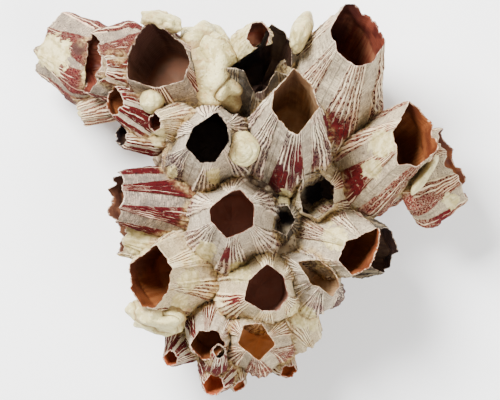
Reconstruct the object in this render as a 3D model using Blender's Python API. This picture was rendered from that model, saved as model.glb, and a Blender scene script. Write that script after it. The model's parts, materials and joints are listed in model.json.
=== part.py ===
"""A barnacle cluster: grown-together acorn barnacles on a crust cut off flat where it sat on rock.

Every barnacle is its own shell: a ribbed cone of six plates round an open cup, cemented to the
crust or to older barnacles. X is the photograph's right, Y its top, and Z points at its camera.
The origin is the middle of the flat cut that the cluster rests on.
"""
import math
import random
from typing import NamedTuple

import bmesh
import bpy
from mathutils import Vector, noise

MM = 0.001

# The cluster is 150 mm across, and 435 pixels wide in the photograph
CLUSTER_WIDTH = 150 * MM
CLUSTER_PIXELS = 435
PIXEL = CLUSTER_WIDTH / CLUSTER_PIXELS
ORIGIN_PX = (250, 200)

GAP = 0.3 * MM            # left between shells that are cemented together
RIM_WALL = 0.9 * MM       # a shell wall's thickness at the mouth
DEEP_WALL = 0.22          # its thickness lower down, as a share of the shell's radius there
RIB_DEPTH = 0.055         # how far plates stand out and seams sink, as a share of the radius
PLATES = 6                # wall plates of a barnacle
RIB_FADE = 0.5            # how much of the ribs is lost at the mouth
DIAMOND = (0.1, 0.06)     # how a mouth departs from round: longer across, and four-cornered

LARGE_SIDES = 15          # sides of a large shell's polygon
SMALL_SIDES = 9
LARGE_MOUTH = 5.5 * MM    # a mouth wider than this across its half has the large polygon

WAIST_LEVEL = 0.5         # the outer wall's one ring between the foot, 0, and the mouth, 1
THROAT_LEVEL = 0.72       # a large cup's one ring between the rim and its floor
FLOOR_LEVEL = 0.4


class Shell(NamedTuple):
    """One barnacle. Pixels are the photograph's, heights and radii are in millimetres."""

    name: str
    mouth_height: float
    foot_px: tuple
    foot_height: float
    foot_radius: float
    rim_px: tuple = ()          # the mouth's corners, where the photograph shows them
    mouth_px: tuple = ()        # the mouth's middle, where it faces sideways
    mouth_radius: float = 0.0
    lean: float = 0.6           # 0 leaves the mouth level, 1 sets it square to the shell
    swell: float = 0.1          # how far the wall bellies out
    chipped: float = 0.03       # how uneven the rim is


class Lump(NamedTuple):
    """One smooth growth. Pixels are the photograph's, the rest is in millimetres and degrees."""

    name: str
    middle_px: tuple
    height: float
    radii: tuple
    turn: float = 0.0
    tip: float = 0.0
    roughness: float = 0.24     # how uneven it is, as a share of its radii


SHELLS = (
    Shell("barnacle_upper_left", 58, (190, 100), 18, 16, lean=0.5, rim_px=(
        (150, 22), (167, 31), (183, 45), (190, 62), (183, 80), (160, 88), (129, 80), (128, 55), (136, 39))),
    Shell("barnacle_upper_right", 62, (318, 108), 14, 19, lean=0.5, rim_px=(
        (347, 2), (370, 17), (385, 42), (372, 62), (358, 63), (337, 52), (330, 30))),
    Shell("barnacle_right", 58, (360, 178), 14, 14.5, lean=0.5, rim_px=(
        (412, 98), (430, 120), (436, 150), (416, 167), (400, 163), (395, 130))),
    Shell("barnacle_lower_left", 55, (198, 268), 16, 14.5, lean=0.5, rim_px=(
        (158, 244), (170, 268), (168, 288), (155, 308), (141, 306), (128, 280), (130, 264))),
    Shell("barnacle_left", 42, (198, 204), 28, 11.5, mouth_px=(116, 197), mouth_radius=7.4, lean=1.0),
    Shell("barnacle_left_under", 27, (172, 238), 24, 10, mouth_px=(122, 231), mouth_radius=7, lean=1.0),
    Shell("barnacle_far_right", 30, (404, 184), 27, 14.5, mouth_px=(456, 164), mouth_radius=11.2, lean=1.0),
    Shell("barnacle_upper_middle", 76, (206, 150), 28, 15, lean=0.5, rim_px=(
        (217, 113), (227, 126), (229, 142), (215, 162), (201, 163), (186, 146), (194, 128))),
    Shell("barnacle_tall", 79, (286, 156), 26, 14.5, lean=0.5, rim_px=(
        (293, 71), (310, 86), (319, 107), (298, 135), (289, 133), (272, 110), (274, 92))),
    Shell("barnacle_centre", 74, (232, 228), 30, 16, lean=0.5, rim_px=(
        (240, 189), (254, 205), (253, 226), (227, 238), (211, 220), (210, 209), (224, 196))),
    Shell("barnacle_lower_middle", 62, (256, 288), 22, 15, lean=0.5, rim_px=(
        (267, 264), (283, 275), (288, 296), (278, 310), (262, 310), (244, 300), (249, 280))),
    Shell("barnacle_lower_right", 57, (318, 238), 20, 13, lean=0.5, rim_px=(
        (378, 228), (380, 246), (368, 268), (352, 275), (338, 260), (346, 242))),
    Shell("barnacle_bottom", 52, (259, 338), 20, 12.5, lean=0.5, rim_px=(
        (244, 325), (262, 324), (275, 345), (259, 361), (238, 344))),
    Shell("barnacle_pit", 47, (320, 190), 18, 12, lean=0.5, rim_px=(
        (304, 176), (320, 174), (334, 186), (333, 206), (318, 218), (303, 212), (300, 192))),
    Shell("barnacle_pit_left", 47, (280, 218), 24, 9, lean=0.5, rim_px=(
        (274, 207), (288, 206), (295, 220), (286, 235), (272, 228))),
    Shell("barnacle_broken_top", 50, (264, 96), 20, 13, lean=0.4, chipped=0.32, rim_px=(
        (266, 33), (285, 30), (292, 52), (288, 78), (264, 88), (244, 80), (228, 74), (232, 56))),
    Shell("barnacle_dome", 58, (252, 54), 36, 7.5, lean=0.5, swell=0.25, rim_px=(
        (252, 24), (263, 22), (270, 33), (266, 46), (254, 48), (247, 38))),
    Shell("barnacle_broken_low", 54, (306, 282), 26, 12, lean=0.3, chipped=0.16, rim_px=(
        (298, 262), (320, 260), (338, 275), (341, 286), (331, 297), (308, 280))),
    Shell("barnacle_dark_fragment", 33, (352, 246), 24, 9, mouth_px=(382, 250), mouth_radius=6.6,
          chipped=0.22, lean=0.9),
    Shell("barnacle_tip_second", 42, (140, 64), 33, 12.5, mouth_px=(89, 62), mouth_radius=8.8, lean=0.8),
    Shell("barnacle_far_tip", 19, (106, 72), 30, 12, mouth_px=(51, 41), mouth_radius=10, lean=1.0),
    Shell("barnacle_tip_small", 49, (128, 72), 42, 6, mouth_px=(101, 68), mouth_radius=3.6, lean=1.0),
    Shell("barnacle_tip_under", 26, (118, 98), 30, 6, mouth_px=(80, 110), mouth_radius=4.2, lean=1.0),
    Shell("barnacle_small_top", 53, (152, 116), 40, 8, lean=0.9, rim_px=(
        (115, 87), (122, 95), (123, 105), (113, 115), (107, 108), (106, 97))),
    Shell("barnacle_small_inner", 62, (184, 122), 46, 6.5, lean=0.9, rim_px=(
        (155, 113), (161, 119), (160, 128), (155, 132), (150, 128), (150, 119))),
    Shell("barnacle_small_low", 45, (158, 134), 36, 6.5, lean=0.9, rim_px=(
        (120, 125), (126, 132), (125, 141), (121, 146), (116, 141), (115, 132))),
    Shell("barnacle_small_under", 40, (192, 152), 44, 6, mouth_px=(168, 160), mouth_radius=3.6, lean=1.0),
    Shell("barnacle_bottom_left", 44, (214, 322), 18, 10.5, lean=0.5, rim_px=(
        (199, 331), (216, 332), (225, 346), (214, 359), (202, 361), (190, 346))),
    Shell("barnacle_bottom_tip", 33, (224, 362), 18, 8.5, lean=0.6, rim_px=(
        (211, 375), (221, 379), (224, 388), (216, 396), (207, 396), (203, 386))),
    Shell("barnacle_small_low_left", 33, (192, 336), 18, 8, lean=0.7, rim_px=(
        (170, 351), (177, 358), (175, 366), (166, 367), (162, 359))),
    Shell("barnacle_small_low_right", 29, (270, 348), 18, 7, lean=0.8, rim_px=(
        (285, 369), (294, 367), (297, 373), (290, 379), (281, 377))),
    Shell("barnacle_smooth_low_right", 20, (284, 308), 26, 10, mouth_px=(308, 344), mouth_radius=6,
          lean=1.0),
    Shell("barnacle_tiny_lip", 46, (215, 368), 32, 3.6, mouth_px=(219, 352), mouth_radius=2, lean=0.8),
    Shell("barnacle_pink_tip", 26, (232, 372), 22, 4, mouth_px=(239, 388), mouth_radius=2.2, lean=0.8),
)

LUMPS = (
    Lump("crust_cream_mass", (210, 68), 40, (12, 16.5, 17), turn=22, roughness=0.22),
    Lump("crust_cap", (160, 22), 50, (7.5, 4.2, 8), turn=-12),
    Lump("crust_round_boss", (152, 101), 54, (4.4, 4.6, 9), roughness=0.08),
    Lump("crust_white_disc", (243, 149), 68, (6.4, 7.2, 4.5), tip=28, roughness=0.06),
    Lump("crust_lower_left", (157, 317), 40, (10.5, 6.2, 12), turn=-12),
    Lump("crust_sliver", (425, 175), 46, (8.4, 2, 7), turn=56, roughness=0.06),
    Lump("crust_tongue_plate", (301, 32), 44, (3.8, 7.8, 15), turn=-22, tip=12, roughness=0.12),
)

# The crust under the cluster: rings of (height, radius) in millimetres, from the cut upward
CRUST_RINGS = ((0, 31), (6, 35), (14, 38), (22, 37), (30, 30), (36, 18))
CRUST_TOP = 38
CRUST_SIDES = 24
CRUST_MIDDLE_PX = (258, 198)
# Where the crust reaches further out: (direction in degrees, millimetres more, spread in degrees)
CRUST_LOBES = ((120, 9, 24), (48, 8, 22), (8, 7, 22), (268, 17, 24), (228, 5, 20))
# Where it is low, under the pit: direction and spread in degrees, and the share lost at its top
CRUST_LOW = (2, 24, 0.55)
CRUST_LOW_FROM, CRUST_LOW_TO = 22, 30   # millimetres up
CRUST_BUMP = 4.4          # millimetres
CRUST_GRAIN = 0.11        # bumps per millimetre

LUMP_DETAIL = 2           # how often a lump's starting solid of twenty faces is divided
LUMP_GRAIN = 2.2          # bumps across a lump's half width

SHELL_COLOUR = (0.62, 0.52, 0.44, 1)
STRIPED_COLOUR = (0.42, 0.22, 0.2, 1)
CREAM_COLOUR = (0.78, 0.74, 0.62, 1)
CRUST_COLOUR = (0.5, 0.42, 0.33, 1)
SHELL_ROUGHNESS = 0.7


def clear_scene():
    """Remove whatever the file opened with."""
    for thing in list(bpy.data.objects):
        bpy.data.objects.remove(thing, do_unlink=True)


def place(pixel, height):
    """The point over a pixel of the photograph, at a height in millimetres."""
    return Vector((
        (pixel[0] - ORIGIN_PX[0]) * PIXEL,
        (ORIGIN_PX[1] - pixel[1]) * PIXEL,
        height * MM,
    ))


def finish_material(thing, colour):
    """Give an object a matt shell material of one colour."""
    material = bpy.data.materials.new(thing.name)
    material.use_nodes = True
    shader = material.node_tree.nodes["Principled BSDF"]
    shader.inputs["Base Color"].default_value = colour
    shader.inputs["Roughness"].default_value = SHELL_ROUGHNESS
    shader.inputs["Metallic"].default_value = 0
    thing.data.materials.append(material)


def solid_of_rings(name, rings, low_end, high_end):
    """A closed solid through rings of points, with a point that closes each end."""
    mesh = bmesh.new()
    rows = [[mesh.verts.new(point) for point in ring] for ring in rings]
    for lower, upper in zip(rows, rows[1:]):
        for i, corner in enumerate(lower):
            j = (i + 1) % len(lower)
            mesh.faces.new((corner, lower[j], upper[j]))
            mesh.faces.new((corner, upper[j], upper[i]))
    for row, end in ((rows[0], low_end), (rows[-1], high_end)):
        tip = mesh.verts.new(end)
        for i, corner in enumerate(row):
            mesh.faces.new((tip, corner, row[(i + 1) % len(row)]))
    bmesh.ops.recalc_face_normals(mesh, faces=mesh.faces)
    data = bpy.data.meshes.new(name)
    mesh.to_mesh(data)
    mesh.free()
    thing = bpy.data.objects.new(name, data)
    bpy.context.scene.collection.objects.link(thing)
    return thing


class ShellForm:
    """A shell's frame and its rings of points."""

    def __init__(self, shell):
        self.shell = shell
        self.foot = place(shell.foot_px, shell.foot_height)
        self.mouth = place(self.middle_pixel(), shell.mouth_height)
        self.axis = (self.mouth - self.foot).normalized()
        self.up = (Vector((0, 1, 0)) - self.axis * self.axis.y).normalized()
        self.side = self.axis.cross(self.up)
        self.corners = [self.on_mouth(pixel) for pixel in shell.rim_px]
        self.large = self.mouth_size() > LARGE_MOUTH
        self.sides = LARGE_SIDES if self.large else SMALL_SIDES
        chips = random.Random(shell.name)
        self.chip = [chips.uniform(-1, 1) for _ in range(self.sides)]

    def middle_pixel(self):
        """The pixel in the middle of the mouth."""
        if not self.shell.rim_px:
            return self.shell.mouth_px
        across, down = zip(*self.shell.rim_px)
        return (min(across) + max(across)) / 2, (min(down) + max(down)) / 2

    def mouth_size(self):
        """About half the mouth's width."""
        if not self.corners:
            return self.shell.mouth_radius * MM
        return sum((c - self.mouth).length for c in self.corners) / len(self.corners)

    def on_mouth(self, pixel):
        """The mouth corner under a pixel, on the mouth's leaning plane."""
        square = Vector((0, 0, 1)).lerp(self.axis, self.shell.lean)
        level = place(pixel, self.shell.mouth_height)
        away = level - self.mouth
        return level - Vector((0, 0, (away.x * square.x + away.y * square.y) / square.z))

    def outward(self, angle):
        """The direction away from the axis at an angle round it."""
        return self.up * math.cos(angle) + self.side * math.sin(angle)

    def rim(self, angle):
        """The mouth's edge at an angle: the ray's crossing with the corners' outline."""
        if not self.corners:
            diamond = 1 + DIAMOND[0] * math.cos(2 * angle) + DIAMOND[1] * math.cos(4 * angle)
            return self.mouth + self.outward(angle) * self.shell.mouth_radius * MM * diamond
        ray = self.outward(angle)
        across = self.axis.cross(ray)
        for i, start in enumerate(self.corners):
            end = self.corners[(i + 1) % len(self.corners)]
            a, b = (start - self.mouth).dot(across), (end - self.mouth).dot(across)
            if a * b > 0 or a == b:
                continue
            crossing = start.lerp(end, a / (a - b))
            if (crossing - self.mouth).dot(ray) > 0:
                return crossing
        raise ValueError(f"{self.shell.name}: no edge at {angle}")

    def wall(self, level, angle, grow=0.0):
        """The outer wall at a level from the foot, 0, to the mouth, 1."""
        ray = self.outward(angle)
        foot = self.foot + ray * self.shell.foot_radius * MM
        rim = self.rim(angle) + ray * RIM_WALL
        point = foot.lerp(rim, level)
        middle = self.foot.lerp(self.mouth, level)
        radius = (point - middle).dot(ray)
        belly = self.shell.swell * math.sin(math.pi * level)
        rib = RIB_DEPTH * math.cos(PLATES * angle) * (1 - RIB_FADE * level)
        return point + ray * (radius * (belly + rib) + grow)

    def angles(self):
        """The angles of the polygon's corners."""
        return [2 * math.pi * i / self.sides for i in range(self.sides)]

    def outer_rings(self, grow=0.0):
        """The outer wall's rings from the foot to the rim."""
        rings = []
        for level, rise in ((0.0, -grow), (WAIST_LEVEL, 0.0), (1.0, grow)):
            lift = self.axis * rise
            rings.append([self.wall(level, angle, grow) + lift for angle in self.angles()])
        return rings

    def chip_height(self, i):
        """How far the rim's corner i stands above or below the mouth's plane."""
        return self.chip[i] * self.shell.chipped * (self.mouth - self.foot).length

    def cup(self):
        """The open shell itself."""
        rings = self.outer_rings()
        inner = [self.rim(angle) for angle in self.angles()]
        for ring in (rings[-1], inner):
            for i, point in enumerate(ring):
                ring[i] = point + self.axis * self.chip_height(i)
        rings.append(inner)
        inside = ((THROAT_LEVEL, 1 - DEEP_WALL), (FLOOR_LEVEL, 1 - 2 * DEEP_WALL))
        for level, share in inside if self.large else inside[1:]:
            middle = self.foot.lerp(self.mouth, level)
            rings.append([middle.lerp(self.wall(level, a), share) for a in self.angles()])
        floor = self.foot.lerp(self.mouth, FLOOR_LEVEL)
        return solid_of_rings(self.shell.name, rings, self.foot, floor)

    def envelope(self):
        """The shell's filled shape with the gap round it, for cutting what is cemented to it."""
        rings = self.outer_rings(GAP)
        rises = [self.chip_height(i) for i in range(self.sides)]
        rings[-1] = [point + self.axis * rise for point, rise in zip(rings[-1], rises)]
        bottom = self.foot - self.axis * GAP
        top = self.mouth + self.axis * (GAP + max(rises))
        return solid_of_rings(self.shell.name + "_envelope", rings, bottom, top)


def lowness(angle, height):
    """The share of the crust's radius that is missing in a direction, at a height."""
    toward, spread, share = CRUST_LOW
    away = (angle - toward + 180) % 360 - 180
    rise = (height - CRUST_LOW_FROM) / (CRUST_LOW_TO - CRUST_LOW_FROM)
    return share * math.exp(-((away / spread) ** 2)) * min(1, max(0, rise))


def crust_solid(name, grow=0.0):
    """The lobed crust of old shell and cement under the cluster, flat where it was cut."""
    middle = place(CRUST_MIDDLE_PX, 0)
    rings = []
    for height, radius in CRUST_RINGS:
        ring = []
        for i in range(CRUST_SIDES):
            angle = 360 * i / CRUST_SIDES
            lobe = sum(
                reach * math.exp(-(((angle - toward + 180) % 360 - 180) / spread) ** 2)
                for toward, reach, spread in CRUST_LOBES
            )
            turn = math.radians(angle)
            ray = Vector((math.cos(turn), math.sin(turn), 0))
            share = radius / CRUST_RINGS[-3][1]
            spot = ray * radius + Vector((0, 0, height))
            bump = CRUST_BUMP * noise.noise(spot * CRUST_GRAIN)
            reach = (radius + lobe * share + bump) * (1 - lowness(angle, height)) * MM + grow
            rise = height * MM + (grow if height else -grow)
            ring.append(middle + ray * reach + Vector((0, 0, rise)))
        rings.append(ring)
    top = middle + Vector((0, 0, CRUST_TOP * MM + grow))
    return solid_of_rings(name, rings, middle - Vector((0, 0, grow)), top)


def lump_solid(lump, grow=0.0):
    """A rounded growth, a little uneven."""
    mesh = bmesh.new()
    bmesh.ops.create_icosphere(mesh, subdivisions=LUMP_DETAIL, radius=1)
    middle = place(lump.middle_px, lump.height)
    turn, tip = math.radians(lump.turn), math.radians(lump.tip)
    along = Vector((math.cos(turn), math.sin(turn), 0))
    across = Vector((-math.sin(turn) * math.cos(tip), math.cos(turn) * math.cos(tip), math.sin(tip)))
    rise = along.cross(across)
    for vert in mesh.verts:
        ray = vert.co.copy()
        uneven = 1 + lump.roughness * noise.noise(ray * LUMP_GRAIN + middle / MM)
        reach = [ray[k] * (lump.radii[k] * MM * uneven + grow) for k in range(3)]
        vert.co = middle + along * reach[0] + across * reach[1] + rise * reach[2]
    name = lump.name if not grow else lump.name + "_envelope"
    data = bpy.data.meshes.new(name)
    mesh.to_mesh(data)
    mesh.free()
    thing = bpy.data.objects.new(name, data)
    bpy.context.scene.collection.objects.link(thing)
    return thing


def boxes_meet(one, other):
    """Whether two objects' boxes overlap."""
    for axis in range(3):
        a = [v.co[axis] for v in one.data.vertices]
        b = [v.co[axis] for v in other.data.vertices]
        if min(a) > max(b) or min(b) > max(a):
            return False
    return True


def pieces_of(mesh):
    """A bmesh's connected pieces, as lists of faces."""
    unseen, pieces = set(mesh.faces), []
    while unseen:
        stack, piece = [unseen.pop()], []
        while stack:
            face = stack.pop()
            piece.append(face)
            for edge in face.edges:
                for other in edge.link_faces:
                    if other in unseen:
                        unseen.discard(other)
                        stack.append(other)
        pieces.append(piece)
    return pieces


def volume_of(piece):
    """The signed volume that a list of triangles encloses."""
    total = 0.0
    for face in piece:
        a, b, c = (v.co for v in face.verts)
        total += a.dot(b.cross(c)) / 6
    return total


def keep_largest(thing):
    """Delete the crumbs that cutting left."""
    mesh = bmesh.new()
    mesh.from_mesh(thing.data)
    bmesh.ops.triangulate(mesh, faces=mesh.faces)
    pieces = sorted(pieces_of(mesh), key=volume_of)
    crumbs = [face for piece in pieces[:-1] for face in piece]
    bmesh.ops.delete(mesh, geom=crumbs, context="FACES")
    loose = [v for v in mesh.verts if not v.link_faces]
    bmesh.ops.delete(mesh, geom=loose, context="VERTS")
    mesh.to_mesh(thing.data)
    mesh.free()


def cut(thing, cutters):
    """Cut an object by each cutter that it meets, and keep its largest piece."""
    for cutter in cutters:
        if not boxes_meet(thing, cutter):
            continue
        boolean = thing.modifiers.new("Fit", "BOOLEAN")
        boolean.operation = "DIFFERENCE"
        boolean.solver = "EXACT"
        boolean.object = cutter
        view = bpy.context.evaluated_depsgraph_get()
        data = bpy.data.meshes.new_from_object(thing.evaluated_get(view))
        thing.modifiers.clear()
        data.name = thing.name
        thing.data = data
    keep_largest(thing)


def build():
    """Make the crust, then each shell and lump cut to fit what was there before it."""
    crust = crust_solid("crust_base")
    finish_material(crust, CRUST_COLOUR)
    cutters = [crust_solid("crust_envelope", GAP)]
    for shell in SHELLS:
        form = ShellForm(shell)
        thing = form.cup()
        cut(thing, cutters)
        finish_material(thing, STRIPED_COLOUR if shell.mouth_radius else SHELL_COLOUR)
        cutters.append(form.envelope())
    for lump in LUMPS:
        thing = lump_solid(lump)
        cut(thing, cutters)
        finish_material(thing, CREAM_COLOUR)
        cutters.append(lump_solid(lump, GAP))
    for cutter in cutters:
        bpy.data.objects.remove(cutter, do_unlink=True)


clear_scene()
build()
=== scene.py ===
"""The look of a barnacle cluster: each shell's plates, ribs, chipped rim and lining, and the growths.

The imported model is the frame. Each shell here is one closed mesh that stands for its CAD node: a
grid rolled into a cup, shaped from the same places and sizes as the part's, and cut where it was
cemented to an older neighbour. X is the photograph's right, Y its top, and Z points at its camera.
"""

import json
import logging
import math
import random
from dataclasses import dataclass
from enum import Enum

import bpy
import numpy as np
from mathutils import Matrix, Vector, noise

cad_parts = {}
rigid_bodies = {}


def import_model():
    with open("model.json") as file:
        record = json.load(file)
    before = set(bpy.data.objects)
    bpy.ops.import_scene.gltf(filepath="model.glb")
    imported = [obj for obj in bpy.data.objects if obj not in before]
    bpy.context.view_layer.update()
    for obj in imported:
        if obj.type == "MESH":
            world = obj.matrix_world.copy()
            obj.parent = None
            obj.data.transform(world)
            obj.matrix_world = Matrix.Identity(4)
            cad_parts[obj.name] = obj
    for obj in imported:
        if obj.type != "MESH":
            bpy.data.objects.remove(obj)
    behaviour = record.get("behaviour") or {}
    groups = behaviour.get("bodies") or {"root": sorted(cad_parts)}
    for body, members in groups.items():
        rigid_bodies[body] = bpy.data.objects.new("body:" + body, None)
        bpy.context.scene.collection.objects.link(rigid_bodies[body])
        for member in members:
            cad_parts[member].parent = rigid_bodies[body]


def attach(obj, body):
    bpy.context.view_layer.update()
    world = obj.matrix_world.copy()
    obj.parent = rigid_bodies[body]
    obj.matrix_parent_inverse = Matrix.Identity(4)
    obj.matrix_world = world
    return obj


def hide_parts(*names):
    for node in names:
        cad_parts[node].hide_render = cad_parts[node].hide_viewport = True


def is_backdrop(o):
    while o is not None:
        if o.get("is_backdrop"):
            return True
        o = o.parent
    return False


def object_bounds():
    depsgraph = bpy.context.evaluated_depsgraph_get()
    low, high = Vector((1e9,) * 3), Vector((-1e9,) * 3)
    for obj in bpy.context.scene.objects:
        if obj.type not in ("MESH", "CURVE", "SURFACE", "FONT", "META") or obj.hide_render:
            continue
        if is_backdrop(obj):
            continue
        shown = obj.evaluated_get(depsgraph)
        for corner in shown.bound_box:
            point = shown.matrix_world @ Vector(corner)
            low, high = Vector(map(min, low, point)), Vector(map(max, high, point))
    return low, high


LOG = logging.getLogger("barnacle_cluster")

MM = 0.001
CLUSTER_WIDTH = 150 * MM
CLUSTER_PIXELS = 435
PIXEL = CLUSTER_WIDTH / CLUSTER_PIXELS
FRAME_PIXELS = 500
ORIGIN_PX = (250, 200)

RIM_WALL = 0.9 * MM
DEEP_WALL = 0.22
RIB_DEPTH = 0.055
RIB_FADE = 0.5
RIB_SET_BACK = 0.35
RIB_COUNTS = (3, 4, 4, 5)
LARGE_TIPS = (0.2, 0.5)
SMALL_TIPS = (0.6, 0.86)
FULL_RELIEF_MOUTH = 7 * MM
DIAMOND = (0.1, 0.06)
PLATES = 6
LARGE_SIDES = 15
SMALL_SIDES = 9
LARGE_MOUTH = 5.5 * MM
THROAT_LEVEL = 0.72
FLOOR_LEVEL = 0.4
FLOOR_SAG = 0.06
STRIPES_LARGE, STRIPES_BOLD, STRIPES_SMALL = 8, 4, 5

SINK = 0.5 * MM           # how far a shell runs into the wall of the one it is cemented to
CEMENT_REACH = 1.3 * MM   # how far cement and dirt spread from a seam
SPREAD = 0.15             # how far a shell spreads just above its foot, as a share of its radius
SPREAD_PEAK = 0.082       # the most that level * (1 - level) ** 4 comes to
EDGE_WALL = 0.22 * MM     # a rim's own thickness, where the wall has thinned to its edge
THIN_WALL = 0.22 * MM     # the least wall anywhere
OUTLINE_STEPS = 720
BOX_MARGIN = np.array([0.01, 0.01, 0.0]) * MM
TOWARD_LIGHT = np.array([-0.64, 0.77, 0.0])  # across the picture, towards its light; the inner walls on this side are darkened with painted shade

Array = np.ndarray
Pixel = tuple[float, float]
Colour = tuple[float, float, float]


class Coat(Enum):
    """How a shell's outside is coloured."""

    MAROON = "maroon stripes on cream"
    BANDED = "dark red with thin cream lines"
    BOLD = "wide dark red stripes between white ribs"
    BRICK = "brick-red stripes, worn"
    PURPLE = "purple-black stripes on white"
    DOTTED = "grey-white with broken stripes"
    CREAM = "cream with faint stripes"
    GREY = "grey and weathered"
    DARK = "dark and broken"


class Lining(Enum):
    """How a cup's inside is coloured."""

    ORANGE = "orange-brown"
    AMBER = "pale golden brown"
    CORAL = "orange-red"
    BROWN = "dark brown"
    UMBER = "dull reddish brown"
    RED = "dark red"
    # Near-black; in the deep pits it is painted shade.
    INK = "blue-black"
    PALE = "chalky tan"


@dataclass(frozen=True)
class CoatFinish:
    """The colours of an outside and how much of each shows."""

    ground: Colour
    ground_warm: Colour
    stripe: Colour
    stripe_dark: Colour
    seam_grey: Colour
    blush: Colour       # washed over the plates' lower halves
    cover: float        # share of the plates under stripes
    broken: float       # how far stripes break up in dots
    cream: float        # how much smooth cream growth lies over it


@dataclass(frozen=True)
class LiningFinish:
    """The colours of an inside, from the rim down."""

    edge: Colour
    wall: Colour
    wall_dark: Colour
    deep: Colour
    lee: Colour         # painted shade on the inner wall that faces away from the light, with some real staining in it
    roughness: float


COATS: dict[Coat, CoatFinish] = {
    Coat.MAROON: CoatFinish((0.78, 0.6, 0.38), (0.6, 0.37, 0.25), (0.062, 0.003, 0.004),
                            (0.012, 0.002, 0.005), (0.2, 0.155, 0.115), (0.26, 0.03, 0.03), 0.76, 0.1,
                            0.05),
    Coat.BANDED: CoatFinish((0.7, 0.52, 0.36), (0.5, 0.31, 0.22), (0.06, 0.002, 0.003),
                            (0.014, 0.002, 0.004), (0.15, 0.12, 0.095), (0.24, 0.025, 0.025), 0.86, 0.0,
                            0.0),
    Coat.BOLD: CoatFinish((0.86, 0.74, 0.52), (0.66, 0.44, 0.3), (0.075, 0.004, 0.004),
                          (0.016, 0.002, 0.004), (0.42, 0.34, 0.24), (0.3, 0.05, 0.04), 0.63, 0.0, 0.0),
    Coat.BRICK: CoatFinish((0.84, 0.68, 0.42), (0.66, 0.45, 0.26), (0.095, 0.004, 0.004),
                           (0.022, 0.003, 0.005), (0.35, 0.275, 0.18), (0.36, 0.055, 0.045), 0.6, 0.3, 0.3),
    Coat.PURPLE: CoatFinish((0.86, 0.73, 0.51), (0.64, 0.46, 0.33), (0.024, 0.006, 0.012),
                            (0.006, 0.003, 0.007), (0.33, 0.265, 0.19), (0.22, 0.055, 0.06), 0.54, 0.3,
                            0.08),
    Coat.DOTTED: CoatFinish((0.8, 0.67, 0.44), (0.58, 0.42, 0.26), (0.055, 0.003, 0.005),
                            (0.01, 0.003, 0.005), (0.33, 0.265, 0.18), (0.3, 0.05, 0.045), 0.56, 0.5, 0.2),
    Coat.CREAM: CoatFinish((0.86, 0.73, 0.45), (0.68, 0.51, 0.25), (0.09, 0.008, 0.007),
                           (0.022, 0.005, 0.006), (0.5, 0.39, 0.23), (0.42, 0.16, 0.1), 0.44, 0.4, 0.36),
    Coat.GREY: CoatFinish((0.8, 0.68, 0.49), (0.56, 0.42, 0.28), (0.045, 0.009, 0.013),
                          (0.012, 0.005, 0.008), (0.37, 0.295, 0.21), (0.26, 0.08, 0.075), 0.42, 0.55, 0.2),
    Coat.DARK: CoatFinish((0.28, 0.23, 0.15), (0.14, 0.1, 0.06), (0.012, 0.009, 0.011),
                          (0.005, 0.005, 0.008), (0.075, 0.065, 0.055), (0.05, 0.02, 0.016), 0.5, 0.4, 0.2),
}

LININGS: dict[Lining, LiningFinish] = {
    Lining.ORANGE: LiningFinish((0.6, 0.4, 0.26), (0.22, 0.068, 0.022), (0.1, 0.025, 0.01),
                                (0.27, 0.095, 0.032), (0.045, 0.011, 0.006), 0.4),
    Lining.AMBER: LiningFinish((0.66, 0.47, 0.29), (0.58, 0.3, 0.125), (0.32, 0.13, 0.048),
                               (0.64, 0.37, 0.18), (0.2, 0.07, 0.028), 0.44),
    Lining.CORAL: LiningFinish((0.66, 0.44, 0.32), (0.56, 0.165, 0.062), (0.3, 0.07, 0.028),
                               (0.62, 0.2, 0.08), (0.24, 0.05, 0.02), 0.4),
    Lining.BROWN: LiningFinish((0.5, 0.36, 0.25), (0.14, 0.058, 0.03), (0.05, 0.018, 0.011),
                               (0.115, 0.055, 0.031), (0.03, 0.01, 0.008), 0.38),
    Lining.UMBER: LiningFinish((0.5, 0.36, 0.25), (0.29, 0.125, 0.08), (0.17, 0.065, 0.042),
                               (0.32, 0.15, 0.1), (0.065, 0.024, 0.016), 0.5),
    Lining.RED: LiningFinish((0.5, 0.33, 0.24), (0.18, 0.045, 0.025), (0.07, 0.015, 0.011),
                             (0.27, 0.1, 0.05), (0.028, 0.009, 0.007), 0.36),
    Lining.INK: LiningFinish((0.42, 0.31, 0.22), (0.035, 0.017, 0.012), (0.01, 0.006, 0.007),
                             (0.055, 0.03, 0.018), (0.006, 0.006, 0.009), 0.34),
    Lining.PALE: LiningFinish((0.66, 0.5, 0.31), (0.36, 0.22, 0.11), (0.2, 0.1, 0.045), (0.28, 0.15, 0.065),
                              (0.09, 0.04, 0.02), 0.6),
}


class Mark(Enum):
    """What a spot of the surface is covered or stained with, or the painted shade that darkens it."""

    CREAM = "cream"
    RED = "red"
    # DARK spots are painted shade: they darken gaps and pits that lie in shadow.
    DARK = "stain"


@dataclass(frozen=True)
class Spot:
    """A spot seen in the photograph: its middle and half width in pixels, and what covers it."""

    pixel: Pixel
    radius: float
    mark: Mark


# The DARK spots paint shade into gaps and pits; the cream and red spots are the surface's own colour.
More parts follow.
